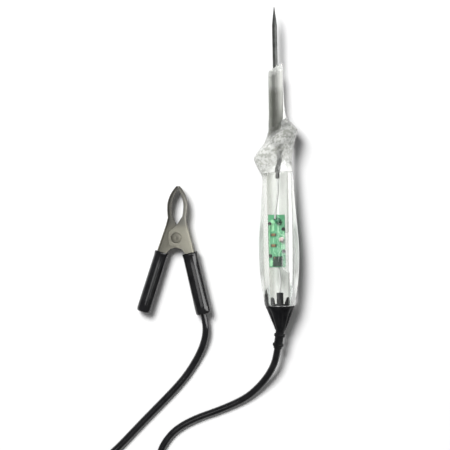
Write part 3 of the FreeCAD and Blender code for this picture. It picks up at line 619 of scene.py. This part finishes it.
def tube(name, points, radius, kind="NURBS", bevel=6):
    """A round tube on one open spline."""
    curve = bpy.data.curves.new(name, "CURVE")
    curve.dimensions = "3D"
    spline = curve.splines.new(kind)
    spline.points.add(len(points) - 1)
    for place, point in zip(spline.points, points):
        place.co = (*point, 1)
    spline.order_u = 3
    spline.use_endpoint_u = True
    spline.resolution_u = 8
    curve.bevel_depth = radius
    curve.bevel_resolution = bevel
    curve.use_fill_caps = True
    return curve


def metres(route):
    return [Vector(point) * MM for point in route]


def make_lead():
    """The whole lead, from the strain relief through the wound length to the clip."""
    points = metres(TESTER_ROUTE) + coil_points() + metres(reversed(CLIP_ROUTE))
    lead = add_object("lead", tube("lead", points, LEAD_RADIUS), "jacket")
    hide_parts("cord_tester_run", "cord_coil", "cord_clip_run")
    held = [frame["nodes"][name] for name in ("cord_clip_end", "lead_lug", "terminal_screw")]
    held += [bpy.data.objects[name] for name in ["tie"] + CLIP_PIECES]


# The handheld part's clear moulding

# Finger guard: place along its normal, shift of the middle along the slant, half widths along the slant and
# upwards, in millimetres.
GUARD = [
    (11.0, 8.0, 6.4, 5.6),
    (9.0, 7.4, 7.4, 6.7),
    (5.0, 5.2, 10.2, 9.0),
    (2.0, 1.8, 14.2, 12.0),
    (0.0, 0.0, 15.5, 13.1),
    (-3.0, -2.2, 14.2, 12.2),
    (-7.0, -4.4, 12.4, 10.8),
    (-11.5, -6.6, 10.6, 9.2),
]
# Stations and radii of the outer skin.
NOSE = [(38.0, 4.35), (45.0, 4.5), (54.0, 4.7), (62.0, 4.95)]
BARREL = [
    (104.0, 9.3),
    (115.8, 10.2),
    (127.8, 11.1),
    (139.8, 12.0),
    (151.8, 12.1),
    (163.8, 11.4),
    (173.0, 10.2),
    (178.6, 9.3),
    (179.2, 9.05),
]
NOSE_CUT, NOSE_CUT_RADIUS = 36.2, 4.15
CHAMBER_FRONT, CHAMBER_RADIUS, CHAMBER_CORNER = 99.0, 6.5, 0.8
SHELL_END, RIM_RADIUS = 179.4, 8.8
BUSH_FRONT, BUSH_HOLE = 38.7, 3.05
SLANT_FADE = [radians(19), radians(6)]  # of the first barrel rings, behind the slanted guard


def shell_rows():
    """Rings of the outer skin from the nose's rim back: middle across and along, slant and half widths."""
    nose = [(NOSE_CUT + 0.05, NOSE_CUT_RADIUS - 0.25), (NOSE_CUT + 0.4, NOSE_CUT_RADIUS)] + NOSE
    rows = [[0, station(back), SLANT, radius / cos(SLANT), radius] for back, radius in nose]
    for depth, shift, wide, high in GUARD:
        across = GUARD_MIDDLE.x + (shift * cos(SLANT) - depth * sin(SLANT)) * MM
        forward = GUARD_MIDDLE.y + (shift * sin(SLANT) + depth * cos(SLANT)) * MM
        rows.append([across, forward, SLANT, wide, high])
    slants = SLANT_FADE + [0] * len(BARREL)
    for (back, radius), slant in zip(BARREL, slants):
        rows.append([0, station(back), slant, radius / cos(slant), radius])
    return rows


def shell_ring(across, forward, slant, wide, high):
    return oval(Vector((across, forward, AXIS)), slant, wide * MM, high * MM, 96)


def bush_recess():
    """Rings of the short recess in the nose, from its bottom to its chamfered mouth."""
    rings = [shell_ring(0, station(BUSH_FRONT), 0, BUSH_HOLE, BUSH_HOLE)]
    for back, radius in ((NOSE_CUT + 0.2, BUSH_HOLE), (NOSE_CUT, BUSH_HOLE + 0.2)):
        rings.append(shell_ring(0, station(back), SLANT, radius / cos(SLANT), radius))
    return rings


def chamber_wall():
    """Rings of the chamber from the rear rim to its flat front, with a rounded corner."""
    rings = [shell_ring(0, station(SHELL_END - 0.3), 0, CHAMBER_RADIUS, CHAMBER_RADIUS)]
    for turn in range(6):
        angle = radians(18 * turn)
        back = station(CHAMBER_FRONT + CHAMBER_CORNER * (1 - sin(angle)))
        radius = CHAMBER_RADIUS - CHAMBER_CORNER * (1 - cos(angle))
        rings.append(shell_ring(0, back, 0, radius, radius))
    return rings


def make_handle():
    """The clear moulding, as one closed form whose chamber's wall has a material of its own."""
    skin = [shell_ring(*row) for row in blend_rows(shell_rows(), 4)]
    rim_radii = (RIM_RADIUS, CHAMBER_RADIUS + 0.3)
    rim = [shell_ring(0, station(SHELL_END), 0, radius, radius) for radius in rim_radii]
    chamber = chamber_wall()
    shape = bmesh.new()
    rows = capped(shape, bush_recess() + skin + rim + chamber)
    within = {vertex for row in rows[-len(chamber) :] for vertex in row}
    for face in shape.faces:
        face.material_index = int(all(vertex in within for vertex in face.verts))
    handle = add_mesh("handle", shape, "clear", 50)
    handle.data.materials.append(materials["clear_inside"].material)
    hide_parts("handle_shell")


# Turned pieces on the handle's line


def turned(name, profile, material):
    """A form turned about the handle's line from pairs of radius and station; a radius of 0 closes it."""
    rings = []
    for radius, back in profile:
        middle = Vector((0, station(back), AXIS))
        rings.append(oval(middle, 0, radius * MM, radius * MM, 48) if radius else [middle])
    shape = bmesh.new()
    bridge(shape, rings)
    return add_mesh(name, shape, material, 30)


def make_needle():
    """Ground point, polished shaft with a worn rim, and the thinner tail with its chamfered end."""
    profile = [(0, 0), (0.12, 0.04), (0.2, 0.16), (0.62, 3.6), (1.08, 7.2), (1.43, 10.3), (1.5, 10.9)]
    profile += [(1.5, 38.4), (1.4, 38.55), (1.2, 38.7), (1.2, 102.7), (0.95, 103.0), (0, 103.0)]
    needle = turned("needle", profile, "needle")
    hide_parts("probe_needle")


def make_ferrule():
    """Steel bush with chamfered ends and a groove near the rear that the moulding grips."""
    profile = [(1.25, 38.6), (2.8, 38.6), (3.0, 38.85), (3.0, 74.4), (2.8, 74.6), (2.8, 75.6), (3.0, 75.8)]
    profile += [(3.0, 77.75), (2.8, 78.0), (1.25, 78.0), (1.25, 38.6)]
    ferrule = turned("ferrule", profile, "ferrule")
    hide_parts("probe_ferrule")


# Collar and boot

CROWN_FRONT, CROWN_COLLAR, CROWN_REAR = 173.4, 177.7, 179.35
CROWN_WALL = (4.9, 6.4)
PRONG_ANGLES = [radians(degrees) for degrees in (33, 147, 213, 327)]
PRONG_HALF_TURN = radians(21)


def polar(radius, angle, back):
    """A point about the handle's line, by millimetres from it, an angle from +X and a station."""
    return Vector((radius * MM * cos(angle), station(back), AXIS + radius * MM * sin(angle)))


def make_crown():
    """Collar with four springy prongs whose tips are rounded and lean a little inwards."""
    shape = bmesh.new()
    inner, outer = CROWN_WALL
    section = [
        (inner, CROWN_COLLAR),
        (outer - 0.1, CROWN_COLLAR),
        (outer, CROWN_COLLAR + 0.15),
        (outer, CROWN_REAR - 0.15),
        (outer - 0.15, CROWN_REAR),
        (inner, CROWN_REAR),
    ]
    collar = [[polar(radius, angle, back) for angle in angles(72)] for radius, back in section]
    bridge(shape, collar, closed=True)
    for middle in PRONG_ANGLES:
        add_prong(shape, middle)
    crown = add_mesh("crown", shape, "crown", 40)
    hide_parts("retainer_crown")


def add_prong(shape, middle):
    """One prong: a curved bar from inside the collar forward, narrowing to a round tip."""
    inner, outer = CROWN_WALL
    root = CROWN_COLLAR + 0.3
    rings = []
    for part in (0, 0.2, 0.45, 0.68, 0.84, 0.94, 1.0):
        back = root - (root - CROWN_FRONT) * part
        width = PRONG_HALF_TURN * (1 - 0.25 * part - 0.35 * max(part - 0.68, 0) / 0.32)
        lean = 0.35 * part * part
        thin = 0.25 * max(part - 0.6, 0) / 0.4
        low, high = inner + 0.05 - lean + thin, outer - 0.05 - lean - thin
        sweep = [-1 + step / 3 for step in range(7)]
        ring = [polar(high, middle + width * share, back) for share in sweep]
        ring += [polar(low, middle - width * share, back) for share in sweep]
        rings.append(ring)
    capped(shape, rings)


BOOT_START, BOOT_BEND, BOOT_EASE = 175.0, 192.5, 4 * MM
TAIL_END = Vector(TESTER_ROUTE[0]) * MM
FLUTES = 10
BOOT_HOLE = 2.12
FLEX_RINGS = (22.1, 27.98)
FLEX_SECTION = [(-1.05, 2.62), (-0.85, 3.05), (-0.5, 3.28), (0.5, 3.28), (0.85, 3.05), (1.05, 2.62)]


def boot_line(distance):
    """A point on the boot's middle line and its heading, by millimetres back from the stem's front."""
    bend = Vector((0, station(BOOT_BEND), AXIS))
    back, tail = Vector((0, -1, 0)), (TAIL_END - bend).normalized()
    past = (distance - (BOOT_BEND - BOOT_START)) * MM
    if past <= -BOOT_EASE:
        return bend + back * past, back
    if past >= BOOT_EASE:
        return bend + tail * past, tail
    part = (past + BOOT_EASE) / (2 * BOOT_EASE)
    start, end = bend - back * BOOT_EASE, bend + tail * BOOT_EASE
    point = start * (1 - part) ** 2 + bend * 2 * part * (1 - part) + end * part**2
    return point, (back * (1 - part) + tail * part).normalized()


def boot_ring(distance, radius, flute=0.0):
    """A ring of the boot, with shallow lengthwise flutes."""
    point, heading = boot_line(distance)
    across = heading.cross(Vector((0, 0, 1))).normalized()
    up = across.cross(heading)
    ring = []
    for angle in angles(80):
        dent = flute * (0.5 + 0.5 * cos(FLUTES * angle)) ** 2
        ring.append(point + (across * cos(angle) + up * sin(angle)) * (radius - dent) * MM)
    return ring


def make_boot():
    """Stem, fluted shoulder and the tail with its two flex rings, round the lead's hole."""
    outline = [(2.5, 4.6), (2.7, 4.8), (4.3, 4.8), (4.45, 8.3), (4.7, 8.7), (5.2, 8.65)]
    for step in range(1, 12):
        part = step / 12
        flute = 0.9 * sin(pi * part) ** 0.5 * (1 - 0.5 * part)
        outline.append((5.2 + 13.2 * part, 8.65 - 5.35 * part, flute))
    outline += [(18.4, 3.3), (19.0, 2.85), (19.5, 2.62), (20.8, 2.6)]
    for middle in FLEX_RINGS:
        outline += [(middle + reach, radius) for reach, radius in FLEX_SECTION]
    outline += [(29.6, 2.6), (30.1, 2.5), (30.28, 2.3), (30.28, 2.13)]
    outline += [(distance, BOOT_HOLE) for distance in (27.0, 20.0, 10.0, 2.5)]
    shape = bmesh.new()
    bridge(shape, [boot_ring(*row) for row in outline], closed=True)
    boot = add_mesh("boot", shape, "boot", 40)
    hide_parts("strain_relief")


# Circuit board

board_low, board_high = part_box("circuit_board")
BOARD_MIDDLE = (board_low[0] + board_high[0]) / 2
BOARD_FACE = 0.8 * MM  # above the axis
TRACKS = [
    [(-0.7, 126.9), (-0.7, 128.9), (-3.1, 131.3), (-3.1, 134.4)],
    [(-1.9, 138.2), (-1.9, 140.8)],
    [(0.9, 131.2), (0.9, 134.6), (2.7, 136.6)],
    [(2.7, 141.2), (2.7, 144.6), (1.2, 147.2), (1.2, 149.0)],
    [(-1.9, 144.4), (-1.9, 146.4), (-0.6, 147.8), (-0.6, 149.0)],
    [(-3.9, 129.8), (-4.2, 134.0), (-4.2, 144.0), (-3.9, 148.6)],
    [(3.9, 133.2), (4.1, 139.0), (3.9, 146.0)],
]
COPPER_FILLS = [((-2.5, 128.4), (-2.3, 133.4), 1.0), ((-3.2, 151.8), (-3.6, 153.6), 0.9)]
VIAS = [(-3.9, 129.8), (-3.9, 148.6), (3.9, 133.2), (3.9, 146.0)]


def slab(shape, low, high, edge):
    """A block whose edges are cut by a small bevel."""
    made = bmesh.ops.create_cube(shape, size=1.0)["verts"]
    middle, span = (low + high) / 2, high - low
    for vertex in made:
        vertex.co = Vector(middle[i] + vertex.co[i] * span[i] for i in range(3))
    edges = {joined for vertex in made for joined in vertex.link_edges}
    bmesh.ops.bevel(shape, geom=list(edges), offset=edge, segments=2, affect="EDGES", profile=0.5)


def board_point(across, back):
    """A point on the board's upper face, by millimetres from its middle line and a station."""
    return Vector((BOARD_MIDDLE + across * MM, station(back), AXIS + BOARD_FACE))


def make_board():
    """Laminate slab with a routed edge, raised tracks and ringed pads."""
    shape = bmesh.new()
    slab(shape, Vector(board_low), Vector(board_high), 0.25 * MM)
    board = add_mesh("board", shape, "board")
    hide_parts("circuit_board")
    tracks = bmesh.new()
    for run in TRACKS:
        for start, end in zip(run, run[1:]):
            add_track(tracks, board_point(*start), board_point(*end), 0.2 * MM)
    for start, end, half_width in COPPER_FILLS:
        add_track(tracks, board_point(*start), board_point(*end), half_width * MM)
    add_mesh("board_tracks", tracks, "track")
    pads = bmesh.new()
    for place in VIAS:
        add_disc(pads, board_point(*place), 1.15 * MM, 0.06 * MM)
    add_mesh("board_pads", pads, "solder")


def add_track(shape, start, end, half_width):
    """A low flat bar from one point of a track to the next, with rounded ends."""
    along_track = (end - start).normalized()
    side = Vector((-along_track.y, along_track.x, 0)) * half_width
    rise = Vector((0, 0, 0.05 * MM))
    outline = []
    for middle, turn in ((end, -90), (start, 90)):
        for step in range(7):
            angle = radians(turn + 30 * step)
            outline.append(middle + along_track * cos(angle) * half_width + side * sin(angle))
    capped(shape, [[point - rise for point in outline], [point + rise for point in outline]])


def level_ring(middle, radius, height, count):
    """Points round an upright line through a point, or one on it where the radius is 0."""
    return [middle + swung(radius, angle, height) for angle in (angles(count) if radius else [0])]


def add_disc(shape, middle, radius, height):
    """A thin disc with a cut upper edge."""
    section = ((radius, -height), (radius, height * 0.5), (radius * 0.92, height))
    capped(shape, [level_ring(middle, reach, rise, 24) for reach, rise in section])


def add_turned_up(shape, base, profile, count=32):
    """A form turned about an upright line through a point, from pairs of radius and height in mm."""
    bridge(shape, [level_ring(base, radius * MM, height * MM, count) for radius, height in profile])


def make_lamp(node, material):
    """A lamp's flanged case with a domed top, in its own node's place, and the reflector cup in it."""
    low, high = (Vector(corner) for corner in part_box(node))
    base = Vector(((low.x + high.x) / 2, (low.y + high.y) / 2, low.z))
    radius, height = (high.x - low.x) / 2 / MM, (high.z - low.z) / MM
    bulb = radius * 0.9
    profile = [(0, 0), (radius, 0), (radius, 0.45), (radius * 0.97, 0.55), (bulb, 0.56)]
    for step in range(6):
        angle = radians(15 * step)
        profile.append((bulb * cos(angle), height - bulb + bulb * sin(angle)))
    profile.append((0, height))
    shape = bmesh.new()
    add_turned_up(shape, base, profile)
    lamp = add_mesh(node + "_case", shape, material)
    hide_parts(node)
    cup = bmesh.new()
    cup_profile = [(0, 0.1), (0.5 * bulb, 0.1), (0.62 * bulb, 1.3), (0.25 * bulb, 1.0), (0, 0.95)]
    add_turned_up(cup, base, cup_profile)
    add_mesh(node + "_cup", cup, "solder")


def make_chip():
    """Square package with a bevelled case, a dimple for its first pin, and gull-wing pins."""
    low, high = (Vector(corner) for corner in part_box("control_chip"))
    inset = Vector((0.25, 0, 0)) * MM
    body_low = low + inset + Vector((0, 0, 0.2 * MM))
    body_high = high - inset
    shape = bmesh.new()
    slab(shape, body_low, body_high, 0.18 * MM)
    chip = add_mesh("chip_case", shape, "chip")
    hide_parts("control_chip")
    pins = bmesh.new()
    for number in range(4):
        forward = low.y + (number + 0.5) * (high.y - low.y) / 4
        add_pin(pins, body_low.x, forward, low.z, -1)
        add_pin(pins, body_high.x, forward, low.z, 1)
    add_mesh("chip_pins", pins, "solder")
    dimple = bmesh.new()
    add_disc(dimple, Vector((body_low.x + 0.8 * MM, high.y - 0.8 * MM, high.z)), 0.35 * MM, 0.015 * MM)
    add_mesh("chip_mark", dimple, "resistor")


def add_pin(shape, root, forward, floor, side):
    """A bent pin: out of the case, down and out onto its pad."""
    half, thick = 0.22 * MM, 0.07 * MM
    rings = []
    for out, rise in ((-0.1, 0.9), (0.18, 0.9), (0.26, 0.1), (0.55, 0.06)):
        middle = Vector((root + side * out * MM, forward, floor + rise * MM))
        corners = ((-half, -thick), (half, -thick), (half, thick), (-half, thick))
        rings.append([middle + Vector((0, y, z)) for y, z in corners])
    capped(shape, rings)


def make_resistors():
    """Two chips with tinned caps over their ends."""
    low, high = (Vector(corner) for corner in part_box("resistors"))
    bodies, caps = bmesh.new(), bmesh.new()
    length, width = high.x - low.x, 1.6 * MM
    for forward in (low.y, high.y - width):
        start = Vector((low.x, forward, low.z))
        end = Vector((high.x, forward + width, high.z))
        inset = Vector((0.16 * length, 0.04 * MM, 0))
        slab(bodies, start + inset, end - inset - Vector((0, 0, 0.05 * MM)), 0.06 * MM)
        for across in (0, 0.8 * length):
            cap_low = start + Vector((across, 0, 0))
            slab(caps, cap_low, cap_low + Vector((0.2 * length, width, end.z - start.z)), 0.08 * MM)
    resistors = add_mesh("resistor_bodies", bodies, "resistor")
    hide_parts("resistors")
    add_mesh("resistor_caps", caps, "solder")


def make_solder():
    """Concave fillets round cut pins, and the blob that holds the needle's wire."""
    shape = bmesh.new()
    fillet = [(0, -0.05), (0.8, -0.05), (0.72, 0.1), (0.45, 0.26), (0.28, 0.5), (0.2, 0.74), (0, 0.78)]
    for place in VIAS:
        add_turned_up(shape, board_point(*place), fillet, 20)
    blob = [(0, -0.05), (0.95, -0.05), (0.9, 0.25), (0.62, 0.62), (0.3, 0.82), (0, 0.86)]
    add_turned_up(shape, board_point(-0.7, 127.0), blob, 20)
    joints = add_mesh("solder_fillets", shape, "solder")
    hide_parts("solder_joints")


# Routes of the inner wires: places across, behind the tip and above the axis.
NEEDLE_WIRE = [(0.0, 102.9, 0.0), (0.1, 106.5, -0.1), (0.15, 110.5, 0.4)]
NEEDLE_WIRE += [(-0.6, 116.0, 0.9), (-1.6, 121.5, 1.45), (-1.9, 127.0, 1.42)]
LEAD_WIRE = [(-0.7, 150.5, -1.42), (-0.1, 156.5, -1.5), (0.6, 162.0, -0.8)]
LEAD_WIRE += [(0.2, 166.5, -0.1), (0.1, 170.2, 0.0)]


def make_wire(name, node, route):
    """An inner wire, sagging between what it joins."""
    points = [Vector((across * MM, station(back), AXIS + rise * MM)) for across, back, rise in route]
    wire = add_object(name, tube(name, points, 0.6 * MM), "wire")
    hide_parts(node)


# Clip

SHEET = 0.9
PLATE_BEND = 1.3
FIXED_HALF, MOVING_HALF = 4.8, 3.7  # half heights of the two channels
BELLY_RADIUS, EYE_RADIUS, LIP_RADIUS = 19.5, 26.0, 24.0
SHANK = 2.9  # half width of a shank
RIVET_SHAFT = 1.6
SPRING_WIRE, SPRING_MEAN, SPRING_TURNS = 0.5, 2.9, 3  # radii of the wire and the coil, and its turns


def clip_frame():
    """The clip's own frame: its pivot, with +Y to the jaws' tip."""
    return Matrix.Translation(PIVOT) @ Matrix.Rotation(-CLIP_LEAN, 4, "Z")


def handle_frame(side):
    """A clip handle's frame, +Y forward along it; side is 1 for the right handle."""
    start = Matrix.Translation((side * HANDLE_START[0] * MM, HANDLE_START[1] * MM, 0))
    return clip_frame() @ start @ Matrix.Rotation(side * HANDLE_SPLAY, 4, "Z")


def shank(outward, back):
    """A point on the right shank in the clip's frame, by millimetres outward and back."""
    across = HANDLE_START[0] + back * sin(HANDLE_SPLAY) + outward * cos(HANDLE_SPLAY)
    forward = HANDLE_START[1] - back * cos(HANDLE_SPLAY) + outward * sin(HANDLE_SPLAY)
    return Vector((across, forward))


def bulged(start, end, radius, count):
    """Points from start to end on an arc that bulges away from the clip's middle."""
    chord = end - start
    right = Vector((-chord.y, chord.x)).normalized()
    if right.x < 0:
        right = -right
    centre = (start + end) / 2 - right * sqrt(radius**2 - (chord.length / 2) ** 2)
    first = start - centre
    turn = first.angle_signed(end - centre)
    return [centre + Matrix.Rotation(-turn * step / count, 2) @ first for step in range(count + 1)]


def between(start, end, part):
    return start + (end - start) * part


def jaw_rows():
    """Pairs of outer and inner edge points down the right half, and how far its channel is open there."""
    tip, hip, waist, neck = (Vector(place) for place in ((1.0, 31.2), (6.3, 17.9), (5.6, 11.9), (6.5, 7.6)))
    mouth, eye_front, eye_rear = (Vector(place) for place in ((0.15, 29.2), (3.5, 20.5), (3.2, 13.2)))
    belly = bulged(tip, hip, BELLY_RADIUS, 10)
    lip = bulged(mouth, eye_front, LIP_RADIUS, 7)
    eye = bulged(eye_front, eye_rear, EYE_RADIUS, 4)
    corner = shank(SHANK, -0.6)
    rows = [(belly[0], (0.15, 31.2), 0.1), (belly[1], (0.15, 30.2), 0.1)]
    for number, inner in enumerate(lip):
        place = 2 + number * 6 / 7
        low = int(place)
        outer = between(belly[low], belly[min(low + 1, 10)], place - low)
        rows.append((outer, inner, 0.1 if number < 2 else min(1.0, 0.1 + 0.3 * (number - 1))))
    rows += [
        (between(belly[8], hip, 0.5), eye[1], 1.0),
        (between(hip, waist, 0.25), eye[2], 1.0),
        (between(hip, waist, 0.6), eye[3], 1.0),
        (waist, eye_rear, 1.0),
        (between(waist, neck, 0.4), (2.0, 11.15), 1.0),
        (neck, (0.15, 8.0), 1.0),
        (between(neck, corner, 0.15), (-1.5, 6.6), 1.0),
        (between(neck, corner, 0.35), (-4.8, 3.6), 1.0),
        (between(neck, corner, 0.65), (-4.9, -0.4), 1.0),
        (between(neck, corner, 0.9), (-4.4, -4.2), 1.0),
        (corner, (-0.4, -5.6), 1.0),
        (shank(SHANK, 0.6), (3.4, -6.8), 1.0),
        (shank(SHANK, 2.0), shank(-SHANK, -0.3), 1.0),
        (shank(SHANK, 6.0), shank(-SHANK, 5.0), 1.0),
        (shank(SHANK, 34.0), shank(-SHANK, 34.0), 1.0),
    ]
    return [(outer, Vector(inner), share) for outer, inner, share in rows]


def channel_ring(outer, inner, open_share, half_height, frame_matrix, side):
    """One section of the folded sheet: two plates and the web that joins them along the outer edge."""
    span = (inner - outer).length
    heading = (inner - outer) / span
    bend = min(PLATE_BEND, span * 0.8)
    web = min(SHEET, span * 0.7)
    hollow = (half_height - SHEET) * open_share
    section = [(span, half_height)]
    for step in range(5):
        angle = radians(22.5 * step)
        section.append((bend * (1 - sin(angle)), half_height - bend * (1 - cos(angle))))
    section += [(across, -rise) for across, rise in reversed(section)]
    section += [(span, -hollow), (web, -hollow), (web, hollow), (span, hollow)]
    ring = []
    for reach, rise in section:
        place = outer + heading * reach
        ring.append(frame_matrix @ Vector((side * place.x * MM, place.y * MM, rise * MM)))
    return ring


def make_jaw(node, name, side, half_height, body):
    """One pressed half of the clip, swept down its two edges."""
    shape = bmesh.new()
    capped(shape, [channel_ring(*row, half_height, clip_frame(), side) for row in jaw_rows()])
    jaw = add_mesh(name, shape, "clip", 35, body)
    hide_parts(node)
    soften(jaw, 0.16 * MM)


def soften(item, width):
    """Round an object's sharper edges."""
    bevel = item.modifiers.new("edges", "BEVEL")
    bevel.width = width
    bevel.segments = 2
    bevel.limit_method = "ANGLE"
    bevel.angle_limit = radians(40)
    bevel.harden_normals = True


def make_rivet():
    """Rivet with a low domed head at each end, one of them dimpled by the tool that closed it."""
    inner, top = 4.83, 5.55
    dimpled = [(0, top - 0.1), (0.6, top - 0.08), (0.9, top), (2.3, top - 0.04), (2.9, top - 0.16)]
    shaft = [(3.2, inner), (RIVET_SHAFT, inner), (RIVET_SHAFT, -inner), (3.2, -inner)]
    plain = [(3.15, 0.5 - top), (2.7, 0.2 - top), (1.7, -top), (0, -top)]
    shape = bmesh.new()
    add_turned_up(shape, PIVOT, dimpled + shaft + plain, 40)
    rivet = add_mesh("rivet", shape, "rivet", 30)
    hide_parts("clip_rivet")


def spring_points():
    """The coil's helix, and the two legs as pairs of ends, in millimetres in the clip's frame."""
    leg_end = shank(SHANK - SHEET - SPRING_WIRE - 0.1, 9.0)
    turn = acos(SPRING_MEAN / leg_end.length) + atan2(leg_end.y, leg_end.x)
    height = (2 * SPRING_WIRE + 0.08) * SPRING_TURNS / 2
    start = swung(SPRING_MEAN, turn)
    mirror_turn = atan2(start.y, -start.x)
    sweep = tau * (SPRING_TURNS - 1) + (mirror_turn - turn) % tau
    count = 24 * SPRING_TURNS
    coil = []
    for step in range(count + 1):
        part = step / count
        coil.append(swung(SPRING_MEAN, turn + sweep * part, height * (2 * part - 1)))
    legs = []
    for side, level in ((1, -height), (-1, height)):
        legs.append([Vector((side * point.x, point.y, level)) for point in (start, leg_end)])
    return coil, legs


def spring_wire(name, points, body):
    """Round spring wire through points of the clip's frame."""
    placed = [clip_frame() @ (point * MM) for point in points]
    return add_object(name, tube(name, placed, SPRING_WIRE * MM, "POLY", 4), "spring", body)


def make_spring():
    """Torsion spring: coil and one leg stay with the fixed half, the other turns with the moving half."""
    coil, legs = spring_points()
    root, end = legs[0]
    fixed = spring_wire("spring_coil", [end, between(root, end, 0.5)] + coil, TESTER)
    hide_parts("clip_spring")
    spring_wire("spring_leg", legs[1], MOVING)


def rounded_box_ring(width, height, corner, count=8):
    """Points round a rounded rectangle, as pairs across and up."""
    ring = []
    for turn, (side, rise) in enumerate(((1, 1), (-1, 1), (-1, -1), (1, -1))):
        for step in range(count + 1):
            angle = radians(90 * turn + 90 * step / count)
            across = side * (width / 2 - corner) + corner * cos(angle)
            up = rise * (height / 2 - corner) + corner * sin(angle)
            ring.append((across, up))
    return ring


# Pairs of place back from the grip's mouth and how much smaller its section is there.
GRIP_SHRINK = [(0.0, 0.35), (0.12, 0.1), (0.5, 0.0), (1.3, 0.0), (1.8, 0.12)]
GRIP_SHRINK += [(2.6, 0.22), (8.0, 0.18), (16.0, 0.14), (26.0, 0.08), (33.0, 0.02)]
GRIP_SHRINK += [(36.2, 0.05), (37.2, 0.3), (37.75, 0.75), (38.0, 1.5)]


def make_grip(node, name, side, body):
    """Vinyl sleeve: rolled mouth, a soft waist and a rounded closed end."""
    width, height, round_off = (9.4, 11.6, 3.9) if side > 0 else (8.4, 9.8, 3.7)
    socket = (6.0, (2 * FIXED_HALF if side > 0 else 2 * MOVING_HALF) + 0.1)
    rings = []
    for back, size in ((4.0, 0.0), (0.5, 0.0), (0.05, 0.25)):
        rings.append((back, socket[0] + 2 * size, socket[1] + 2 * size, 0.6 + size))
    for back, shrink in GRIP_SHRINK:
        rings.append((back, width - 2 * shrink, height - 2 * shrink, max(round_off - shrink, 1.2)))
    place = handle_frame(side)
    loops = []
    for back, *size in rings:
        loops.append([place @ (Vector((across, -back, up)) * MM) for across, up in rounded_box_ring(*size)])
    shape = bmesh.new()
    capped(shape, loops)
    grip = add_mesh(name, shape, "grip", 45, body)
    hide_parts(node)


# Cord tie

TIE_TURN = radians(205)
TIE_HALF_WIDTH, TIE_HALF_THICK, TIE_CORNER = 2.9 * MM, 0.24 * MM, 3.0 * MM
TIE_INNER = 13.55 * MM
TIE_GAP = 0.2 * MM  # outside the coil's solid


def make_tie():
    """Flat strap round the coil's section."""
    low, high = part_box("cord_coil")
    outer = (high[0] - low[0]) / 2 + TIE_GAP
    wide, tall = outer - TIE_INNER, high[2] - low[2] + 2 * TIE_GAP
    heading = swung(1, TIE_TURN)
    across = Vector((-heading.y, heading.x, 0))
    middle = coil_middle() + heading * (TIE_INNER + outer) / 2 + Vector((0, 0, (low[2] + high[2]) / 2))
    rings = []
    for side, face in ((-1, -1), (1, -1), (1, 1), (-1, 1)):
        push = face * TIE_HALF_THICK
        section = rounded_box_ring(wide + 2 * push, tall + 2 * push, TIE_CORNER + push, 6)
        edge = middle + across * side * TIE_HALF_WIDTH
        rings.append([edge + heading * reach + Vector((0, 0, rise)) for reach, rise in section])
    shape = bmesh.new()
    bridge(shape, rings, closed=True)
    tie = add_mesh("tie", shape, "tie", 30)
    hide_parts("cord_tie")


def make_tester():
    """The handheld part, from the point back to the boot."""
    make_needle()
    make_ferrule()
    make_handle()
    make_board()
    make_lamp("led_green", "lamp_green")
    make_lamp("led_red", "lamp_red")
    make_chip()
    make_resistors()
    make_solder()
    make_wire("needle_wire", "probe_lead_wire", NEEDLE_WIRE)
    make_wire("lead_wire", "ground_wire", LEAD_WIRE)
    make_crown()
    make_boot()


def make_clip():
    """The ground clip, both halves and what joins them."""
    make_jaw("clip_fixed_jaw", "jaw_fixed", 1, FIXED_HALF, TESTER)
    make_jaw("clip_moving_jaw", "jaw_moving", -1, MOVING_HALF, MOVING)
    make_rivet()
    make_spring()
    make_grip("fixed_grip", "grip_fixed", 1, TESTER)
    make_grip("moving_grip", "grip_moving", -1, MOVING)


dress_frame()
make_camera()
make_light()
make_floor()
make_tester()
make_clip()
make_tie()
make_lead()

scene = bpy.context.scene
scene.view_settings.view_transform = "Standard"
